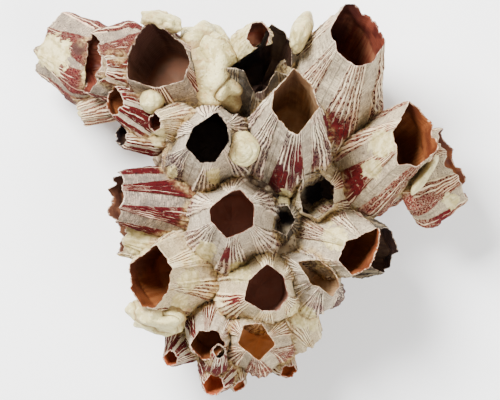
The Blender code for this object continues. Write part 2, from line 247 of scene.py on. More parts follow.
SPOTS: tuple[Spot, ...] = (
    Spot((52, 52), 21, Mark.CREAM), Spot((78, 48), 9, Mark.DARK), Spot((87, 75), 8, Mark.CREAM),
    Spot((72, 112), 8, Mark.CREAM), Spot((280, 178), 14, Mark.RED), Spot((330, 120), 9, Mark.RED),
    Spot((338, 132), 14, Mark.RED), Spot((318, 194), 17, Mark.DARK), Spot((286, 196), 8, Mark.CREAM),
    Spot((381, 142), 14, Mark.CREAM), Spot((350, 184), 20, Mark.RED), Spot((372, 168), 10, Mark.CREAM),
    Spot((188, 280), 10, Mark.CREAM), Spot((180, 303), 9, Mark.CREAM), Spot((204, 252), 12, Mark.CREAM),
    Spot((335, 238), 14, Mark.CREAM), Spot((226, 254), 9, Mark.RED), Spot((136, 244), 12, Mark.CREAM),
    Spot((172, 172), 8, Mark.CREAM), Spot((300, 160), 16, Mark.RED),
    Spot((284, 221), 13, Mark.DARK), Spot((262, 92), 10, Mark.DARK),
    Spot((252, 34), 14, Mark.CREAM), Spot((236, 50), 16, Mark.CREAM), Spot((240, 272), 11, Mark.CREAM),
    Spot((304, 318), 14, Mark.CREAM),
    Spot((214, 176), 9, Mark.CREAM), Spot((446, 214), 13, Mark.RED), Spot((452, 200), 8, Mark.CREAM),
    Spot((157, 138), 10, Mark.CREAM), Spot((212, 352), 8, Mark.RED), Spot((236, 300), 9, Mark.RED),
)


@dataclass(frozen=True)
class Shell:
    """One barnacle. Pixels are the photograph's, heights and radii are in millimetres."""

    name: str
    mouth_height: float
    foot_px: Pixel
    foot_height: float
    foot_radius: float
    coat: Coat
    lining: Lining
    rim_px: tuple[Pixel, ...] = ()
    mouth_px: Pixel = (0, 0)
    mouth_radius: float = 0.0
    lean: float = 0.6
    swell: float = 0.1
    chipped: float = 0.03


@dataclass(frozen=True)
class Growth:
    """One smooth growth. Pixels are the photograph's, the rest is in millimetres and degrees."""

    name: str
    middle_px: Pixel
    height: float
    radii: tuple[float, float, float]
    turn: float = 0.0
    tip: float = 0.0
    roughness: float = 0.24
    folds: float = 0.5
    ringed: bool = False


SHELLS: tuple[Shell, ...] = (
    Shell("barnacle_upper_left", 58, (190, 100), 18, 16, Coat.MAROON, Lining.BROWN, lean=0.5, rim_px=(
        (150, 22), (167, 31), (183, 45), (190, 62), (183, 80), (160, 88), (129, 80), (128, 55), (136, 39))),
    Shell("barnacle_upper_right", 62, (318, 108), 14, 19, Coat.DOTTED, Lining.RED, lean=0.5, rim_px=(
        (347, 2), (370, 17), (385, 42), (372, 62), (358, 63), (337, 52), (330, 30))),
    Shell("barnacle_right", 58, (360, 178), 14, 14.5, Coat.BRICK, Lining.ORANGE, lean=0.5, rim_px=(
        (412, 98), (430, 120), (436, 150), (416, 167), (400, 163), (395, 130))),
    Shell("barnacle_lower_left", 55, (198, 268), 16, 14.5, Coat.CREAM, Lining.ORANGE, lean=0.5, rim_px=(
        (158, 244), (170, 268), (168, 288), (155, 308), (141, 306), (128, 280), (130, 264))),
    Shell("barnacle_left", 42, (198, 204), 28, 11.5, Coat.BANDED, Lining.BROWN,
          mouth_px=(116, 197), mouth_radius=7.4, lean=1.0),
    Shell("barnacle_left_under", 27, (172, 238), 24, 10, Coat.CREAM, Lining.BROWN,
          mouth_px=(122, 231), mouth_radius=7, lean=1.0),
    Shell("barnacle_far_right", 30, (404, 184), 27, 14.5, Coat.BRICK, Lining.ORANGE,
          mouth_px=(456, 164), mouth_radius=11.2, lean=1.0),
    Shell("barnacle_upper_middle", 76, (206, 150), 28, 15, Coat.PURPLE, Lining.INK, lean=0.5, rim_px=(
        (217, 113), (227, 126), (229, 142), (215, 162), (201, 163), (186, 146), (194, 128))),
    Shell("barnacle_tall", 79, (286, 156), 26, 14.5, Coat.PURPLE, Lining.PALE, lean=0.5, rim_px=(
        (293, 71), (310, 86), (319, 107), (298, 135), (289, 133), (272, 110), (274, 92))),
    Shell("barnacle_centre", 74, (232, 228), 30, 16, Coat.GREY, Lining.UMBER, lean=0.5, rim_px=(
        (240, 189), (254, 205), (253, 226), (227, 238), (211, 220), (210, 209), (224, 196))),
    Shell("barnacle_lower_middle", 62, (256, 288), 22, 15, Coat.CREAM, Lining.UMBER, lean=0.5, rim_px=(
        (267, 264), (283, 275), (288, 296), (278, 310), (262, 310), (244, 300), (249, 280))),
    Shell("barnacle_lower_right", 57, (318, 238), 20, 13, Coat.DOTTED, Lining.ORANGE, lean=0.5, rim_px=(
        (378, 228), (380, 246), (368, 268), (352, 275), (338, 260), (346, 242))),
    Shell("barnacle_bottom", 52, (259, 338), 20, 12.5, Coat.BRICK, Lining.AMBER, lean=0.5, rim_px=(
        (244, 325), (262, 324), (275, 345), (259, 361), (238, 344))),
    Shell("barnacle_pit", 47, (320, 190), 18, 12, Coat.CREAM, Lining.INK, lean=0.5, rim_px=(
        (304, 176), (320, 174), (334, 186), (333, 206), (318, 218), (303, 212), (300, 192))),
    Shell("barnacle_pit_left", 47, (280, 218), 24, 9, Coat.DARK, Lining.INK, lean=0.5, rim_px=(
        (274, 207), (288, 206), (295, 220), (286, 235), (272, 228))),
    Shell("barnacle_broken_top", 50, (264, 96), 20, 13, Coat.DARK, Lining.INK, lean=0.4, chipped=0.32,
          rim_px=((266, 33), (285, 30), (292, 52), (288, 78), (264, 88), (244, 80), (228, 74), (232, 56))),
    Shell("barnacle_dome", 58, (252, 54), 36, 7.5, Coat.CREAM, Lining.RED, lean=0.5, swell=0.25, rim_px=(
        (252, 24), (263, 22), (270, 33), (266, 46), (254, 48), (247, 38))),
    Shell("barnacle_broken_low", 54, (306, 282), 26, 12, Coat.PURPLE, Lining.PALE, lean=0.3, chipped=0.16,
          rim_px=((298, 262), (320, 260), (338, 275), (341, 286), (331, 297), (308, 280))),
    Shell("barnacle_dark_fragment", 33, (352, 246), 24, 9, Coat.DARK, Lining.INK,
          mouth_px=(382, 250), mouth_radius=6.6, chipped=0.22, lean=0.9),
    Shell("barnacle_tip_second", 42, (140, 64), 33, 12.5, Coat.MAROON, Lining.RED,
          mouth_px=(89, 62), mouth_radius=8.8, lean=0.8),
    Shell("barnacle_far_tip", 19, (106, 72), 30, 12, Coat.MAROON, Lining.BROWN,
          mouth_px=(51, 41), mouth_radius=10, lean=1.0),
    Shell("barnacle_tip_small", 49, (128, 72), 42, 6, Coat.BOLD, Lining.BROWN,
          mouth_px=(101, 68), mouth_radius=3.6, lean=1.0),
    Shell("barnacle_tip_under", 26, (118, 98), 30, 6, Coat.BRICK, Lining.BROWN,
          mouth_px=(80, 110), mouth_radius=4.2, lean=1.0),
    Shell("barnacle_small_top", 53, (152, 116), 40, 8, Coat.BOLD, Lining.ORANGE, lean=0.9, rim_px=(
        (115, 87), (122, 95), (123, 105), (113, 115), (107, 108), (106, 97))),
    Shell("barnacle_small_inner", 62, (184, 122), 46, 6.5, Coat.CREAM, Lining.RED, lean=0.9, rim_px=(
        (155, 113), (161, 119), (160, 128), (155, 132), (150, 128), (150, 119))),
    Shell("barnacle_small_low", 45, (158, 134), 36, 6.5, Coat.BOLD, Lining.INK, lean=0.9, rim_px=(
        (120, 125), (126, 132), (125, 141), (121, 146), (116, 141), (115, 132))),
    Shell("barnacle_small_under", 40, (192, 152), 44, 6, Coat.BRICK, Lining.BROWN,
          mouth_px=(168, 160), mouth_radius=3.6, lean=1.0),
    Shell("barnacle_bottom_left", 44, (214, 322), 18, 10.5, Coat.BOLD, Lining.ORANGE, lean=0.5, rim_px=(
        (199, 331), (216, 332), (225, 346), (214, 359), (202, 361), (190, 346))),
    Shell("barnacle_bottom_tip", 33, (224, 362), 18, 8.5, Coat.BOLD, Lining.CORAL, lean=0.6, rim_px=(
        (211, 375), (221, 379), (224, 388), (216, 396), (207, 396), (203, 386))),
    Shell("barnacle_small_low_left", 33, (192, 336), 18, 8, Coat.BOLD, Lining.CORAL, lean=0.7, rim_px=(
        (170, 351), (177, 358), (175, 366), (166, 367), (162, 359))),
    Shell("barnacle_small_low_right", 29, (270, 348), 18, 7, Coat.BOLD, Lining.CORAL, lean=0.8, rim_px=(
        (285, 369), (294, 367), (297, 373), (290, 379), (281, 377))),
    Shell("barnacle_smooth_low_right", 20, (284, 308), 26, 10, Coat.CREAM, Lining.BROWN,
          mouth_px=(308, 344), mouth_radius=6, lean=1.0),
    Shell("barnacle_tiny_lip", 46, (215, 368), 32, 3.6, Coat.BOLD, Lining.INK,
          mouth_px=(219, 352), mouth_radius=2, lean=0.8),
    Shell("barnacle_pink_tip", 26, (232, 372), 22, 4, Coat.BOLD, Lining.CORAL,
          mouth_px=(239, 388), mouth_radius=2.2, lean=0.8),
)

GROWTHS: tuple[Growth, ...] = (
    Growth("crust_cream_mass", (210, 68), 40, (12, 16.5, 17), turn=22, roughness=0.22, folds=1.3),
    Growth("crust_cap", (160, 22), 50, (7.5, 4.2, 8), turn=-12, folds=0.8),
    Growth("crust_round_boss", (152, 101), 54, (4.4, 4.6, 9), roughness=0.08, folds=0.0),
    Growth("crust_white_disc", (243, 149), 68, (6.4, 7.2, 4.5), tip=28, roughness=0.06, folds=0.1,
           ringed=True),
    Growth("crust_lower_left", (157, 317), 40, (10.5, 6.2, 12), turn=-12, folds=1.0),
    Growth("crust_sliver", (425, 175), 46, (8.4, 2, 7), turn=56, roughness=0.06, folds=0.1),
    Growth("crust_tongue_plate", (301, 32), 44, (3.8, 7.8, 15), turn=-22, tip=12, roughness=0.12,
           folds=0.4),
)

CRUST_RINGS = ((0, 31), (6, 35), (14, 38), (22, 37), (30, 30), (36, 18))
CRUST_TOP = 38
CRUST_MIDDLE_PX = (258, 198)
CRUST_LOBES = ((120, 9, 24), (48, 8, 22), (8, 7, 22), (268, 17, 24), (228, 5, 20))
CRUST_LOW = (2, 24, 0.55)
CRUST_LOW_FROM, CRUST_LOW_TO = 22, 30
CRUST_BUMP = 4.4
CRUST_GRAIN = 0.11
LUMP_GRAIN = 2.2

CREASE_GRAIN, CRUST_FOLD_GRAIN, CRUST_FINE_GRAIN, CRUST_PIT_GRAIN = 9 * MM, 9 * MM, 2.2 * MM, 5 * MM
FOLD_DEPTH = 2.2
UNDER_RINGS = 4.2 * MM

SPOTS_ABOVE = 4 * MM
CRUST_SPOTS_ABOVE = 10 * MM
SPOTS_FADE = 8 * MM

RED_STRIPE: Colour = (0.1, 0.005, 0.006)
LIP_COLOUR: Colour = (0.74, 0.6, 0.44)
# near black: the painted shade of dark gaps and pits
PAINTED_SHADE_COLOUR: Colour = (0.045, 0.02, 0.016)
COVER_CREAM: tuple[Colour, Colour] = ((0.72, 0.62, 0.33), (0.48, 0.385, 0.16))
CEMENT_COLOURS: tuple[Colour, Colour] = ((0.56, 0.4, 0.17), (0.17, 0.1, 0.045))


def place(pixel: Pixel, height: float) -> Array:
    """Find the point over a pixel of the photograph.

    Args:
        pixel: The pixel, across and down.
        height: The height in millimetres.

    Returns:
        The point in metres.
    """
    return np.array([
        (pixel[0] - ORIGIN_PX[0]) * PIXEL,
        (ORIGIN_PX[1] - pixel[1]) * PIXEL,
        height * MM,
    ])


def unit(vector: Array) -> Array:
    """Return a vector at length one."""
    return vector / np.linalg.norm(vector)


def smoothstep(value: Array, low: float, high: float) -> Array:
    """Return 0 below low, 1 above high, and a smooth rise between."""
    share = np.clip((value - low) / (high - low), 0, 1)
    return share * share * (3 - 2 * share)


def lattice(cell: Array, seed: int) -> Array:
    """Give every whole-numbered cell of space a steady number.

    Args:
        cell: Whole numbers, shape (n, 3).
        seed: Which set of numbers.

    Returns:
        Numbers from 0 to 1, shape (n,).
    """
    mixed = (cell[:, 0] * 374761393 + cell[:, 1] * 668265263 + cell[:, 2] * 1440662683 + seed * 974634777)
    mixed = (mixed ^ (mixed >> 13)) * 1274126177
    mixed = mixed & 0x7FFFFFFF
    mixed = mixed ^ (mixed >> 15)
    return (mixed & 0xFFFF) / 65535.0


def grain(points: Array, seed: int) -> Array:
    """Smooth noise with a bump per unit of space.

    Args:
        points: Places, shape (n, 3).
        seed: Which noise.

    Returns:
        Values from -1 to 1, shape (n,).
    """
    low = np.floor(points).astype(np.int64)
    part = points - low
    part = part * part * (3 - 2 * part)
    total = np.zeros(len(points))
    for corner in range(8):
        step = np.array([corner & 1, corner >> 1 & 1, corner >> 2 & 1])
        weight = np.prod(np.where(step == 1, part, 1 - part), axis=1)
        total += weight * lattice(low + step, seed)
    return total * 2 - 1


def rough_grain(points: Array, seed: int, octaves: int = 3) -> Array:
    """Return noise with finer noise over it.

    Args:
        points: Places, shape (n, 3).
        seed: Which noise.
        octaves: How many layers, each half as high and twice as fine as the one before.

    Returns:
        Values around 0, shape (n,).
    """
    total = np.zeros(len(points))
    for layer in range(octaves):
        total += grain(points * 2 ** layer, seed + 17 * layer) / 2 ** layer
    return total


class ShellForm:
    """A shell's frame, its mouth's outline and its plates, as functions of level and turn."""

    def __init__(self, shell: Shell) -> None:
        """Work out the frame and the mouth's outline.

        Args:
            shell: The shell's places and sizes.
        """
        self.shell = shell
        self.foot = place(shell.foot_px, shell.foot_height)
        self.mouth = place(self._middle_pixel(), shell.mouth_height)
        self.length = float(np.linalg.norm(self.mouth - self.foot))
        self.axis = unit(self.mouth - self.foot)
        self.up = unit(np.array([0.0, 1.0, 0.0]) - self.axis * self.axis[1])
        self.side = np.cross(self.axis, self.up)
        self.turns = np.linspace(0, 2 * math.pi, OUTLINE_STEPS, endpoint=False)
        corners = np.array([self._on_mouth(pixel) for pixel in shell.rim_px])
        self.half_mouth = (
            float(np.linalg.norm(corners - self.mouth, axis=1).mean())
            if len(corners) else shell.mouth_radius * MM
        )
        self.large = self.half_mouth > LARGE_MOUTH
        self.relief_size = min(1.0, self.half_mouth / FULL_RELIEF_MOUTH) * MM
        self.reach, self.rise = self._outline(corners)
        draws = random.Random(shell.name)
        sides = LARGE_SIDES if self.large else SMALL_SIDES
        chips = [draws.uniform(-1, 1) for _ in range(sides)]
        self.chip = np.interp(self.turns, np.arange(sides + 1) * 2 * math.pi / sides, chips + chips[:1])
        self.seed = draws.randrange(1, 900)
        self.centres = np.array([
            2 * math.pi * k / PLATES + draws.uniform(-0.1, 0.1) for k in range(PLATES)
        ])
        self.ribs = np.array([draws.choice(RIB_COUNTS) for _ in range(PLATES)])
        narrow = LARGE_TIPS if self.large else SMALL_TIPS
        self.tip_share = np.array([draws.uniform(*narrow) for _ in range(PLATES)])
        self.plate_dye = np.array([draws.uniform(0.25, 0.95) for _ in range(PLATES)])

    def _middle_pixel(self) -> Pixel:
        """Return the pixel in the middle of the mouth."""
        if not self.shell.rim_px:
            return self.shell.mouth_px
        across, down = zip(*self.shell.rim_px)
        return (min(across) + max(across)) / 2, (min(down) + max(down)) / 2

    def _on_mouth(self, pixel: Pixel) -> Array:
        """Return the mouth's corner under a pixel, on the mouth's leaning plane."""
        square = (1 - self.shell.lean) * np.array([0.0, 0.0, 1.0]) + self.shell.lean * self.axis
        level = place(pixel, self.shell.mouth_height)
        away = level - self.mouth
        return level - np.array([0, 0, (away[0] * square[0] + away[1] * square[1]) / square[2]])

    def _outline(self, corners: Array) -> tuple[Array, Array]:
        """Read the mouth's outline at every turn.

        Args:
            corners: The mouth's corners, or none for a rounded mouth.

        Returns:
            How far the edge is from the axis, and how far above the mouth's middle.
        """
        if not len(corners):
            diamond = 1 + DIAMOND[0] * np.cos(2 * self.turns) + DIAMOND[1] * np.cos(4 * self.turns)
            return self.shell.mouth_radius * MM * diamond, np.zeros(OUTLINE_STEPS)
        away = corners - self.mouth
        flat = np.stack([away @ self.up, away @ self.side, away @ self.axis], axis=1)
        ray = np.stack([np.cos(self.turns), np.sin(self.turns)], axis=1)
        reach, rise = np.zeros(OUTLINE_STEPS), np.zeros(OUTLINE_STEPS)
        for start, end in zip(flat, np.roll(flat, -1, axis=0)):
            a = ray[:, 0] * start[1] - ray[:, 1] * start[0]
            b = ray[:, 0] * end[1] - ray[:, 1] * end[0]
            share = np.where(a != b, a / np.where(a == b, 1, a - b), 0)
            crossing = start + share[:, None] * (end - start)
            along = (crossing[:, :2] * ray).sum(axis=1)
            hit = (a * b <= 0) & (a != b) & (along > 0)
            reach = np.where(hit, along, reach)
            rise = np.where(hit, crossing[:, 2], rise)
        return self._rounded(reach), self._rounded(rise)

    @staticmethod
    def _rounded(outline: Array) -> Array:
        """Soften an outline's corners a little."""
        spread = 9
        window = np.hanning(2 * spread + 1)
        window /= window.sum()
        padded = np.concatenate([outline[-spread:], outline, outline[:spread]])
        return np.convolve(padded, window, mode="valid")

    def read(self, outline: Array, turn: Array) -> Array:
        """Return an outline's value at any turn."""
        return np.interp(turn, self.turns, outline, period=2 * math.pi)

    def rim_height(self, turn: Array) -> Array:
        """Return how high above the foot the wall ends at each turn."""
        chips = self.read(self.chip, turn) * self.shell.chipped * self.length
        return self.length + self.read(self.rise, turn) + chips

    def smooth_radius(self, level: Array, turn: Array) -> Array:
        """Return the outer wall's radius without its plates.

        Args:
            level: From 0 at the foot to 1 at the mouth.
            turn: The angle round the axis.

        Returns:
            The radius in metres.
        """
        edge = self.read(self.reach, turn) + RIM_WALL
        foot = self.shell.foot_radius * MM
        low = np.clip(level, 0, 1)
        spread = SPREAD * low * (1 - low) ** 4 / SPREAD_PEAK
        return (foot + level * (edge - foot)) * (1 + self.shell.swell * np.sin(math.pi * level) + spread)

    def broad_ribs(self, level: Array, turn: Array) -> Array:
        """Return how far each plate bulges out, or its seams lie in."""
        wave = np.cos(PLATES * turn) * (1 - RIB_FADE * level) - RIB_SET_BACK
        return self.smooth_radius(level, turn) * RIB_DEPTH * wave

    def plate_place(self, level: Array, turn: Array) -> tuple[Array, Array, Array]:
        """Find where on its plate each place of the wall lies.

        Args:
            level: From 0 at the foot to 1 at the mouth.
            turn: The angle round the axis.

        Returns:
            The plate's number, the place across its ribbed part from -1 to 1, and the way round
            counted in plates.
        """
        turn = np.mod(turn, 2 * math.pi)
        borders = (self.centres + np.roll(self.centres, -1) + np.where(
            np.arange(PLATES) == PLATES - 1, 2 * math.pi, 0)) / 2
        plate = np.searchsorted(borders, turn) % PLATES
        before = np.roll(borders, 1) - np.where(np.arange(PLATES) == 0, 2 * math.pi, 0)
        centre = self.centres[plate]
        own_turn = np.where((plate == 0) & (turn > math.pi), turn - 2 * math.pi, turn)
        half = np.where(own_turn >= centre, borders[plate] - centre, centre - before[plate])
        across = np.clip((own_turn - centre) / half, -1, 1)
        tip = self.tip_share[plate]
        fill = 0.96 + (tip - 0.96) * np.power(np.clip(level, 0, 1), 0.85)
        inner = np.clip(across / fill, -1, 1)
        outer = np.sign(across) * np.clip((np.abs(across) - fill) / (1 - fill), 0, 1)
        counted = plate + 0.5 + 0.4 * inner + 0.1 * outer
        ribbed = np.where(np.abs(across) <= fill, inner, np.sign(across) * (1 + np.abs(outer)))
        return plate, ribbed, counted

    def relief(self, level: Array, turn: Array, points: Array) -> tuple[Array, Array, Array]:
        """Work out how far plates, ribs, growth lines and wear stand out.

        Args:
            level: From 0 at the foot to 1 at the mouth.
            turn: The angle round the axis.
            points: The wall's places before this relief, for the noise.

        Returns:
            The height of the relief, how much of each place is ribbed plate, and the ribs' own height
            from 0 to 1.
        """
        plate, ribbed, _ = self.plate_place(level, turn)
        ribbing = 1 - smoothstep(np.abs(ribbed), 0.9, 1.12)
        seam = np.exp(-(((np.abs(ribbed) - 1.1) / 0.07) ** 2))
        swirl = grain(points / (5 * MM), self.seed + 13)
        phase = self.ribs[plate] * ribbed * math.pi + plate * 1.7 + 0.9 * swirl
        uneven = 0.75 + 0.5 * grain(points / (4 * MM), self.seed + 14)
        ridge = np.power(0.5 + 0.5 * np.cos(phase), 1.4) * uneven
        wander = rough_grain(points / (7 * MM), self.seed)
        fine = rough_grain(points / (1.6 * MM), self.seed + 5)
        ledges = np.abs(grain(points / (3.2 * MM) + level[:, None] * 6, self.seed + 15)) ** 0.6
        spaced = level * self.length / (0.9 * MM)
        lines = grain(np.stack([np.cos(turn) * 2, np.sin(turn) * 2, spaced], axis=1), self.seed + 9)
        height = self.broad_ribs(level, turn) + self.relief_size * (
            0.35 * ribbing
            + 0.78 * ribbing * ridge * (1 - 0.5 * level)
            + 0.4 * wander + 0.14 * fine + 0.12 * lines + 0.22 * ledges
            - 0.45 * seam * (1 - 0.5 * level)
            - 0.86
        )
        return height, ribbing, ridge * ribbing

    def dye(self, plate: Array, level: Array, points: Array) -> Array:
        """Say how strongly each place is striped: by plate, by level and in drifts.

        Args:
            plate: The plate's number at each place.
            level: From 0 at the foot to 1 at the mouth.
            points: The wall's places.

        Returns:
            From 0, bare, to 1, fully striped.
        """
        drifts = rough_grain(points / (11 * MM), self.seed + 21)
        own = self.plate_dye[plate]
        return np.clip(own + 0.3 * drifts + 0.12 * np.sin(math.pi * np.clip(level, 0, 1)), 0, 1)

    def ray(self, turn: Array) -> Array:
        """Return the way out of the axis at each turn."""
        return np.cos(turn)[:, None] * self.up + np.sin(turn)[:, None] * self.side

    def points(self, level: Array, turn: Array, radius: Array) -> Array:
        """Return places at a level and turn, a given way from the axis."""
        rise = level * self.rim_height(turn)
        return self.foot + rise[:, None] * self.axis + radius[:, None] * self.ray(turn)

    def beyond(self, places: Array) -> Array:
        """Measure how far places lie outside the filled shell.

        Args:
            places: Points, shape (n, 3).

        Returns:
            Metres outside, less than 0 inside.
        """
        away = places - self.foot
        along = away @ self.axis
        across, upward = away @ self.side, away @ self.up
        turn = np.mod(np.arctan2(across, upward), 2 * math.pi)
        top = self.rim_height(turn)
        level = np.clip(along / top, 0, 1)
        wide = np.hypot(across, upward) - self.smooth_radius(level, turn)
        return np.maximum(wide, np.maximum(along - top, -along))


def select_only(thing: bpy.types.Object) -> None:
    """Make an object the only one selected, and the active one."""
    bpy.ops.object.select_all(action="DESELECT")
    thing.select_set(True)
    bpy.context.view_layer.objects.active = thing


def add_grid(name: str, columns: int, rows: int) -> tuple[bpy.types.Object, Array, Array]:
    """Add a flat grid to be rolled up.

    Args:
        name: The object's name.
        columns: Faces the way that will go round.
        rows: Faces from one end to the other.

    Returns:
        The object, and each corner's column and row.
    """
    bpy.ops.object.select_all(action="DESELECT")
    bpy.ops.mesh.primitive_grid_add(x_subdivisions=columns, y_subdivisions=rows, size=1)
    thing = bpy.context.object
    thing.name = thing.data.name = name
    flat = np.empty(len(thing.data.vertices) * 3)
    thing.data.vertices.foreach_get("co", flat)
    flat = flat.reshape(-1, 3)
    column = np.rint((flat[:, 0] + 0.5) * columns).astype(int)
    row = np.rint((flat[:, 1] + 0.5) * rows).astype(int)
    return thing, column, row


def move_corners(thing: bpy.types.Object, places: Array) -> None:
    """Put a mesh's corners at new places."""
    thing.data.vertices.foreach_set("co", places.astype(np.float32).ravel())
    thing.data.update()


def corners_of(thing: bpy.types.Object) -> Array:
    """Return a mesh's corners, shape (n, 3)."""
    flat = np.empty(len(thing.data.vertices) * 3)
    thing.data.vertices.foreach_get("co", flat)
    return flat.reshape(-1, 3)


def close_up(thing: bpy.types.Object) -> None:
    """Merge the corners that a roll brought together, and face everything outward."""
    select_only(thing)
    bpy.ops.object.mode_set(mode="EDIT")
    bpy.ops.mesh.select_all(action="SELECT")
    bpy.ops.mesh.remove_doubles(threshold=1e-6)
    bpy.ops.mesh.normals_make_consistent(inside=False)
    bpy.ops.object.mode_set(mode="OBJECT")


def write_mark(thing: bpy.types.Object, name: str, values: Array) -> None:
    """Store a number at each corner, for the materials to read."""
    layer = thing.data.attributes.get(name) or thing.data.attributes.new(name, "FLOAT", "POINT")
    layer.data.foreach_set("value", values.astype(np.float32))


def cut_by(thing: bpy.types.Object, cutters: list[bpy.types.Object]) -> None:
    """Cut an object by others, and keep only its largest piece.

    Args:
        thing: The object to cut.
        cutters: The solids to take away.
    """
    corners = corners_of(thing)
    low, high = corners.min(axis=0), corners.max(axis=0)
    for cutter in cutters:
        box = np.array(cutter["box"]).reshape(2, 3)
        if (low > box[1]).any() or (high < box[0]).any():
            continue
        select_only(thing)
        boolean = thing.modifiers.new("Seat", "BOOLEAN")
        boolean.operation = "DIFFERENCE"
        boolean.solver = "MANIFOLD"
        boolean.object = cutter
        bpy.ops.object.modifier_apply(modifier=boolean.name)
    keep_largest(thing)


def keep_largest(thing: bpy.types.Object) -> None:
    """Separate a mesh's loose pieces, and delete all but the one with the most corners."""
    before = set(bpy.data.objects)
    select_only(thing)
    bpy.ops.mesh.separate(type="LOOSE")
    pieces = [thing] + [o for o in bpy.data.objects if o not in before]
    if len(pieces) == 1:
        return
    largest = max(pieces, key=lambda piece: len(piece.data.vertices))
    if largest is not thing:
        thing.data, largest.data = largest.data, thing.data
    for piece in pieces[1:]:
        bpy.data.objects.remove(piece, do_unlink=True)


def as_cutter(thing: bpy.types.Object) -> bpy.types.Object:
    """Note the box of a solid that only cuts, and return the solid."""
    corners = corners_of(thing)
    thing["box"] = [float(v) for v in (*corners.min(axis=0), *corners.max(axis=0))]
    return thing


class Signal:
    """A number or colour that a material works out: sums with it add Math nodes."""

    def __init__(self, paint: "Paint", socket: bpy.types.NodeSocket) -> None:
        """Keep the material and the socket that it comes from."""
        self.paint = paint
        self.socket = socket

    def __add__(self, other: "Value") -> "Signal":
        """Return the sum."""
        return self.paint.math("ADD", self, other)

    def __sub__(self, other: "Value") -> "Signal":
        """Return this less another."""
        return self.paint.math("SUBTRACT", self, other)

    def __rsub__(self, other: float) -> "Signal":
        """Return a number less this."""
        return self.paint.math("SUBTRACT", other, self)

    def __mul__(self, other: "Value") -> "Signal":
        """Return the product."""
        return self.paint.math("MULTIPLY", self, other)

    def larger(self, other: "Value") -> "Signal":
        """Return the larger of this and another."""
        return self.paint.math("MAXIMUM", self, other)

    def step(self, low: float, high: float) -> "Signal":
        """Rise smoothly from 0 at low to 1 at high."""
        made = self.paint.node("ShaderNodeMapRange", interpolation_type="SMOOTHSTEP", clamp=True)
        self.paint.feed(made.inputs["Value"], self)
        made.inputs["From Min"].default_value = low
        made.inputs["From Max"].default_value = high
        return Signal(self.paint, made.outputs["Result"])


Value = float | Colour | Signal


class Paint:
    """A material under construction, with short calls for its nodes."""

    def __init__(self, name: str) -> None:
        """Start a material with an empty surface."""
        self.material = bpy.data.materials.new(name)
        self.material.use_nodes = True
        self.tree = self.material.node_tree
        self.shader = self.tree.nodes["Principled BSDF"]

    def node(self, kind: str, **settings: object) -> bpy.types.Node:
        """Add a node and set its options."""
        made = self.tree.nodes.new(kind)
        for key, value in settings.items():
            setattr(made, key, value)
        return made

    def feed(self, socket: bpy.types.NodeSocket, value: Value) -> None:
        """Join a socket to another, or set its number or colour."""
        if isinstance(value, Signal):
            self.tree.links.new(value.socket, socket)
        elif isinstance(value, tuple):
            socket.default_value = (*value, 1)
        else:
            socket.default_value = value

    def math(self, operation: str, first: Value, second: Value = 0.0, clamp: bool = False) -> Signal:
        """Add a Math node and return its output."""
        made = self.node("ShaderNodeMath", operation=operation, use_clamp=clamp)
        self.feed(made.inputs[0], first)
        self.feed(made.inputs[1], second)
        return Signal(self, made.outputs[0])

    def mix(self, share: Value, first: Value, second: Value) -> Signal:
        """Mix two colours by a share."""
        made = self.node("ShaderNodeMix", data_type="RGBA")
        self.feed(made.inputs["Factor"], share)
        self.feed(made.inputs[6], first)
        self.feed(made.inputs[7], second)
        return Signal(self, made.outputs[2])

    def mark(self, name: str) -> Signal:
        """Read a number stored at the corners."""
        return Signal(self, self.node("ShaderNodeAttribute", attribute_name=name).outputs["Fac"])

    def place(self) -> Signal:
        """Read the place in the object's own frame."""
        return Signal(self, self.node("ShaderNodeTexCoord").outputs["Object"])

    def map_parts(self, name: str) -> tuple[Signal, Signal]:
        """Read the two numbers of a UV map."""
        split = self.node("ShaderNodeSeparateXYZ")
        self.tree.links.new(self.node("ShaderNodeUVMap", uv_map=name).outputs[0], split.inputs[0])
        return Signal(self, split.outputs[0]), Signal(self, split.outputs[1])

    def vector(self, x: Value, y: Value, z: Value) -> Signal:
        """Join three numbers."""
        made = self.node("ShaderNodeCombineXYZ")
        for socket, value in zip(made.inputs, (x, y, z)):
            self.feed(socket, value)
        return Signal(self, made.outputs[0])

    def noise(self, where: Signal, scale: float, detail: float = 3, rough: float = 0.55,
              bend: float = 0) -> Signal:
        """Add noise and return its strength, about 0.5 on average."""
        made = self.node("ShaderNodeTexNoise")
        self.feed(made.inputs["Vector"], where)
        made.inputs["Scale"].default_value = scale
        made.inputs["Detail"].default_value = detail
        made.inputs["Roughness"].default_value = rough
        made.inputs["Distortion"].default_value = bend
        return Signal(self, made.outputs[0])

    def cells(self, where: Signal, scale: float) -> Signal:
        """Add cells and return the distance from their middles."""
        made = self.node("ShaderNodeTexVoronoi")
        self.feed(made.inputs["Vector"], where)
        made.inputs["Scale"].default_value = scale
        return Signal(self, made.outputs["Distance"])

    def bump(self, height: Signal, distance: float, strength: float) -> Signal:
        """Add a bump and return the bent normal."""
        made = self.node("ShaderNodeBump")
        self.feed(made.inputs["Height"], height)
        made.inputs["Distance"].default_value = distance
        made.inputs["Strength"].default_value = strength
        return Signal(self, made.outputs[0])

    def finish(self, colour: Value, roughness: Value, normal: Signal,
               gloss: float) -> bpy.types.Material:
        """Join the surface's colour, roughness and normal, and return the material."""
        self.feed(self.shader.inputs["Base Color"], colour)
        self.feed(self.shader.inputs["Roughness"], roughness)
        self.feed(self.shader.inputs["Normal"], normal)
        self.shader.inputs["Metallic"].default_value = 0.0
        self.shader.inputs["Specular IOR Level"].default_value = gloss
        return self.material


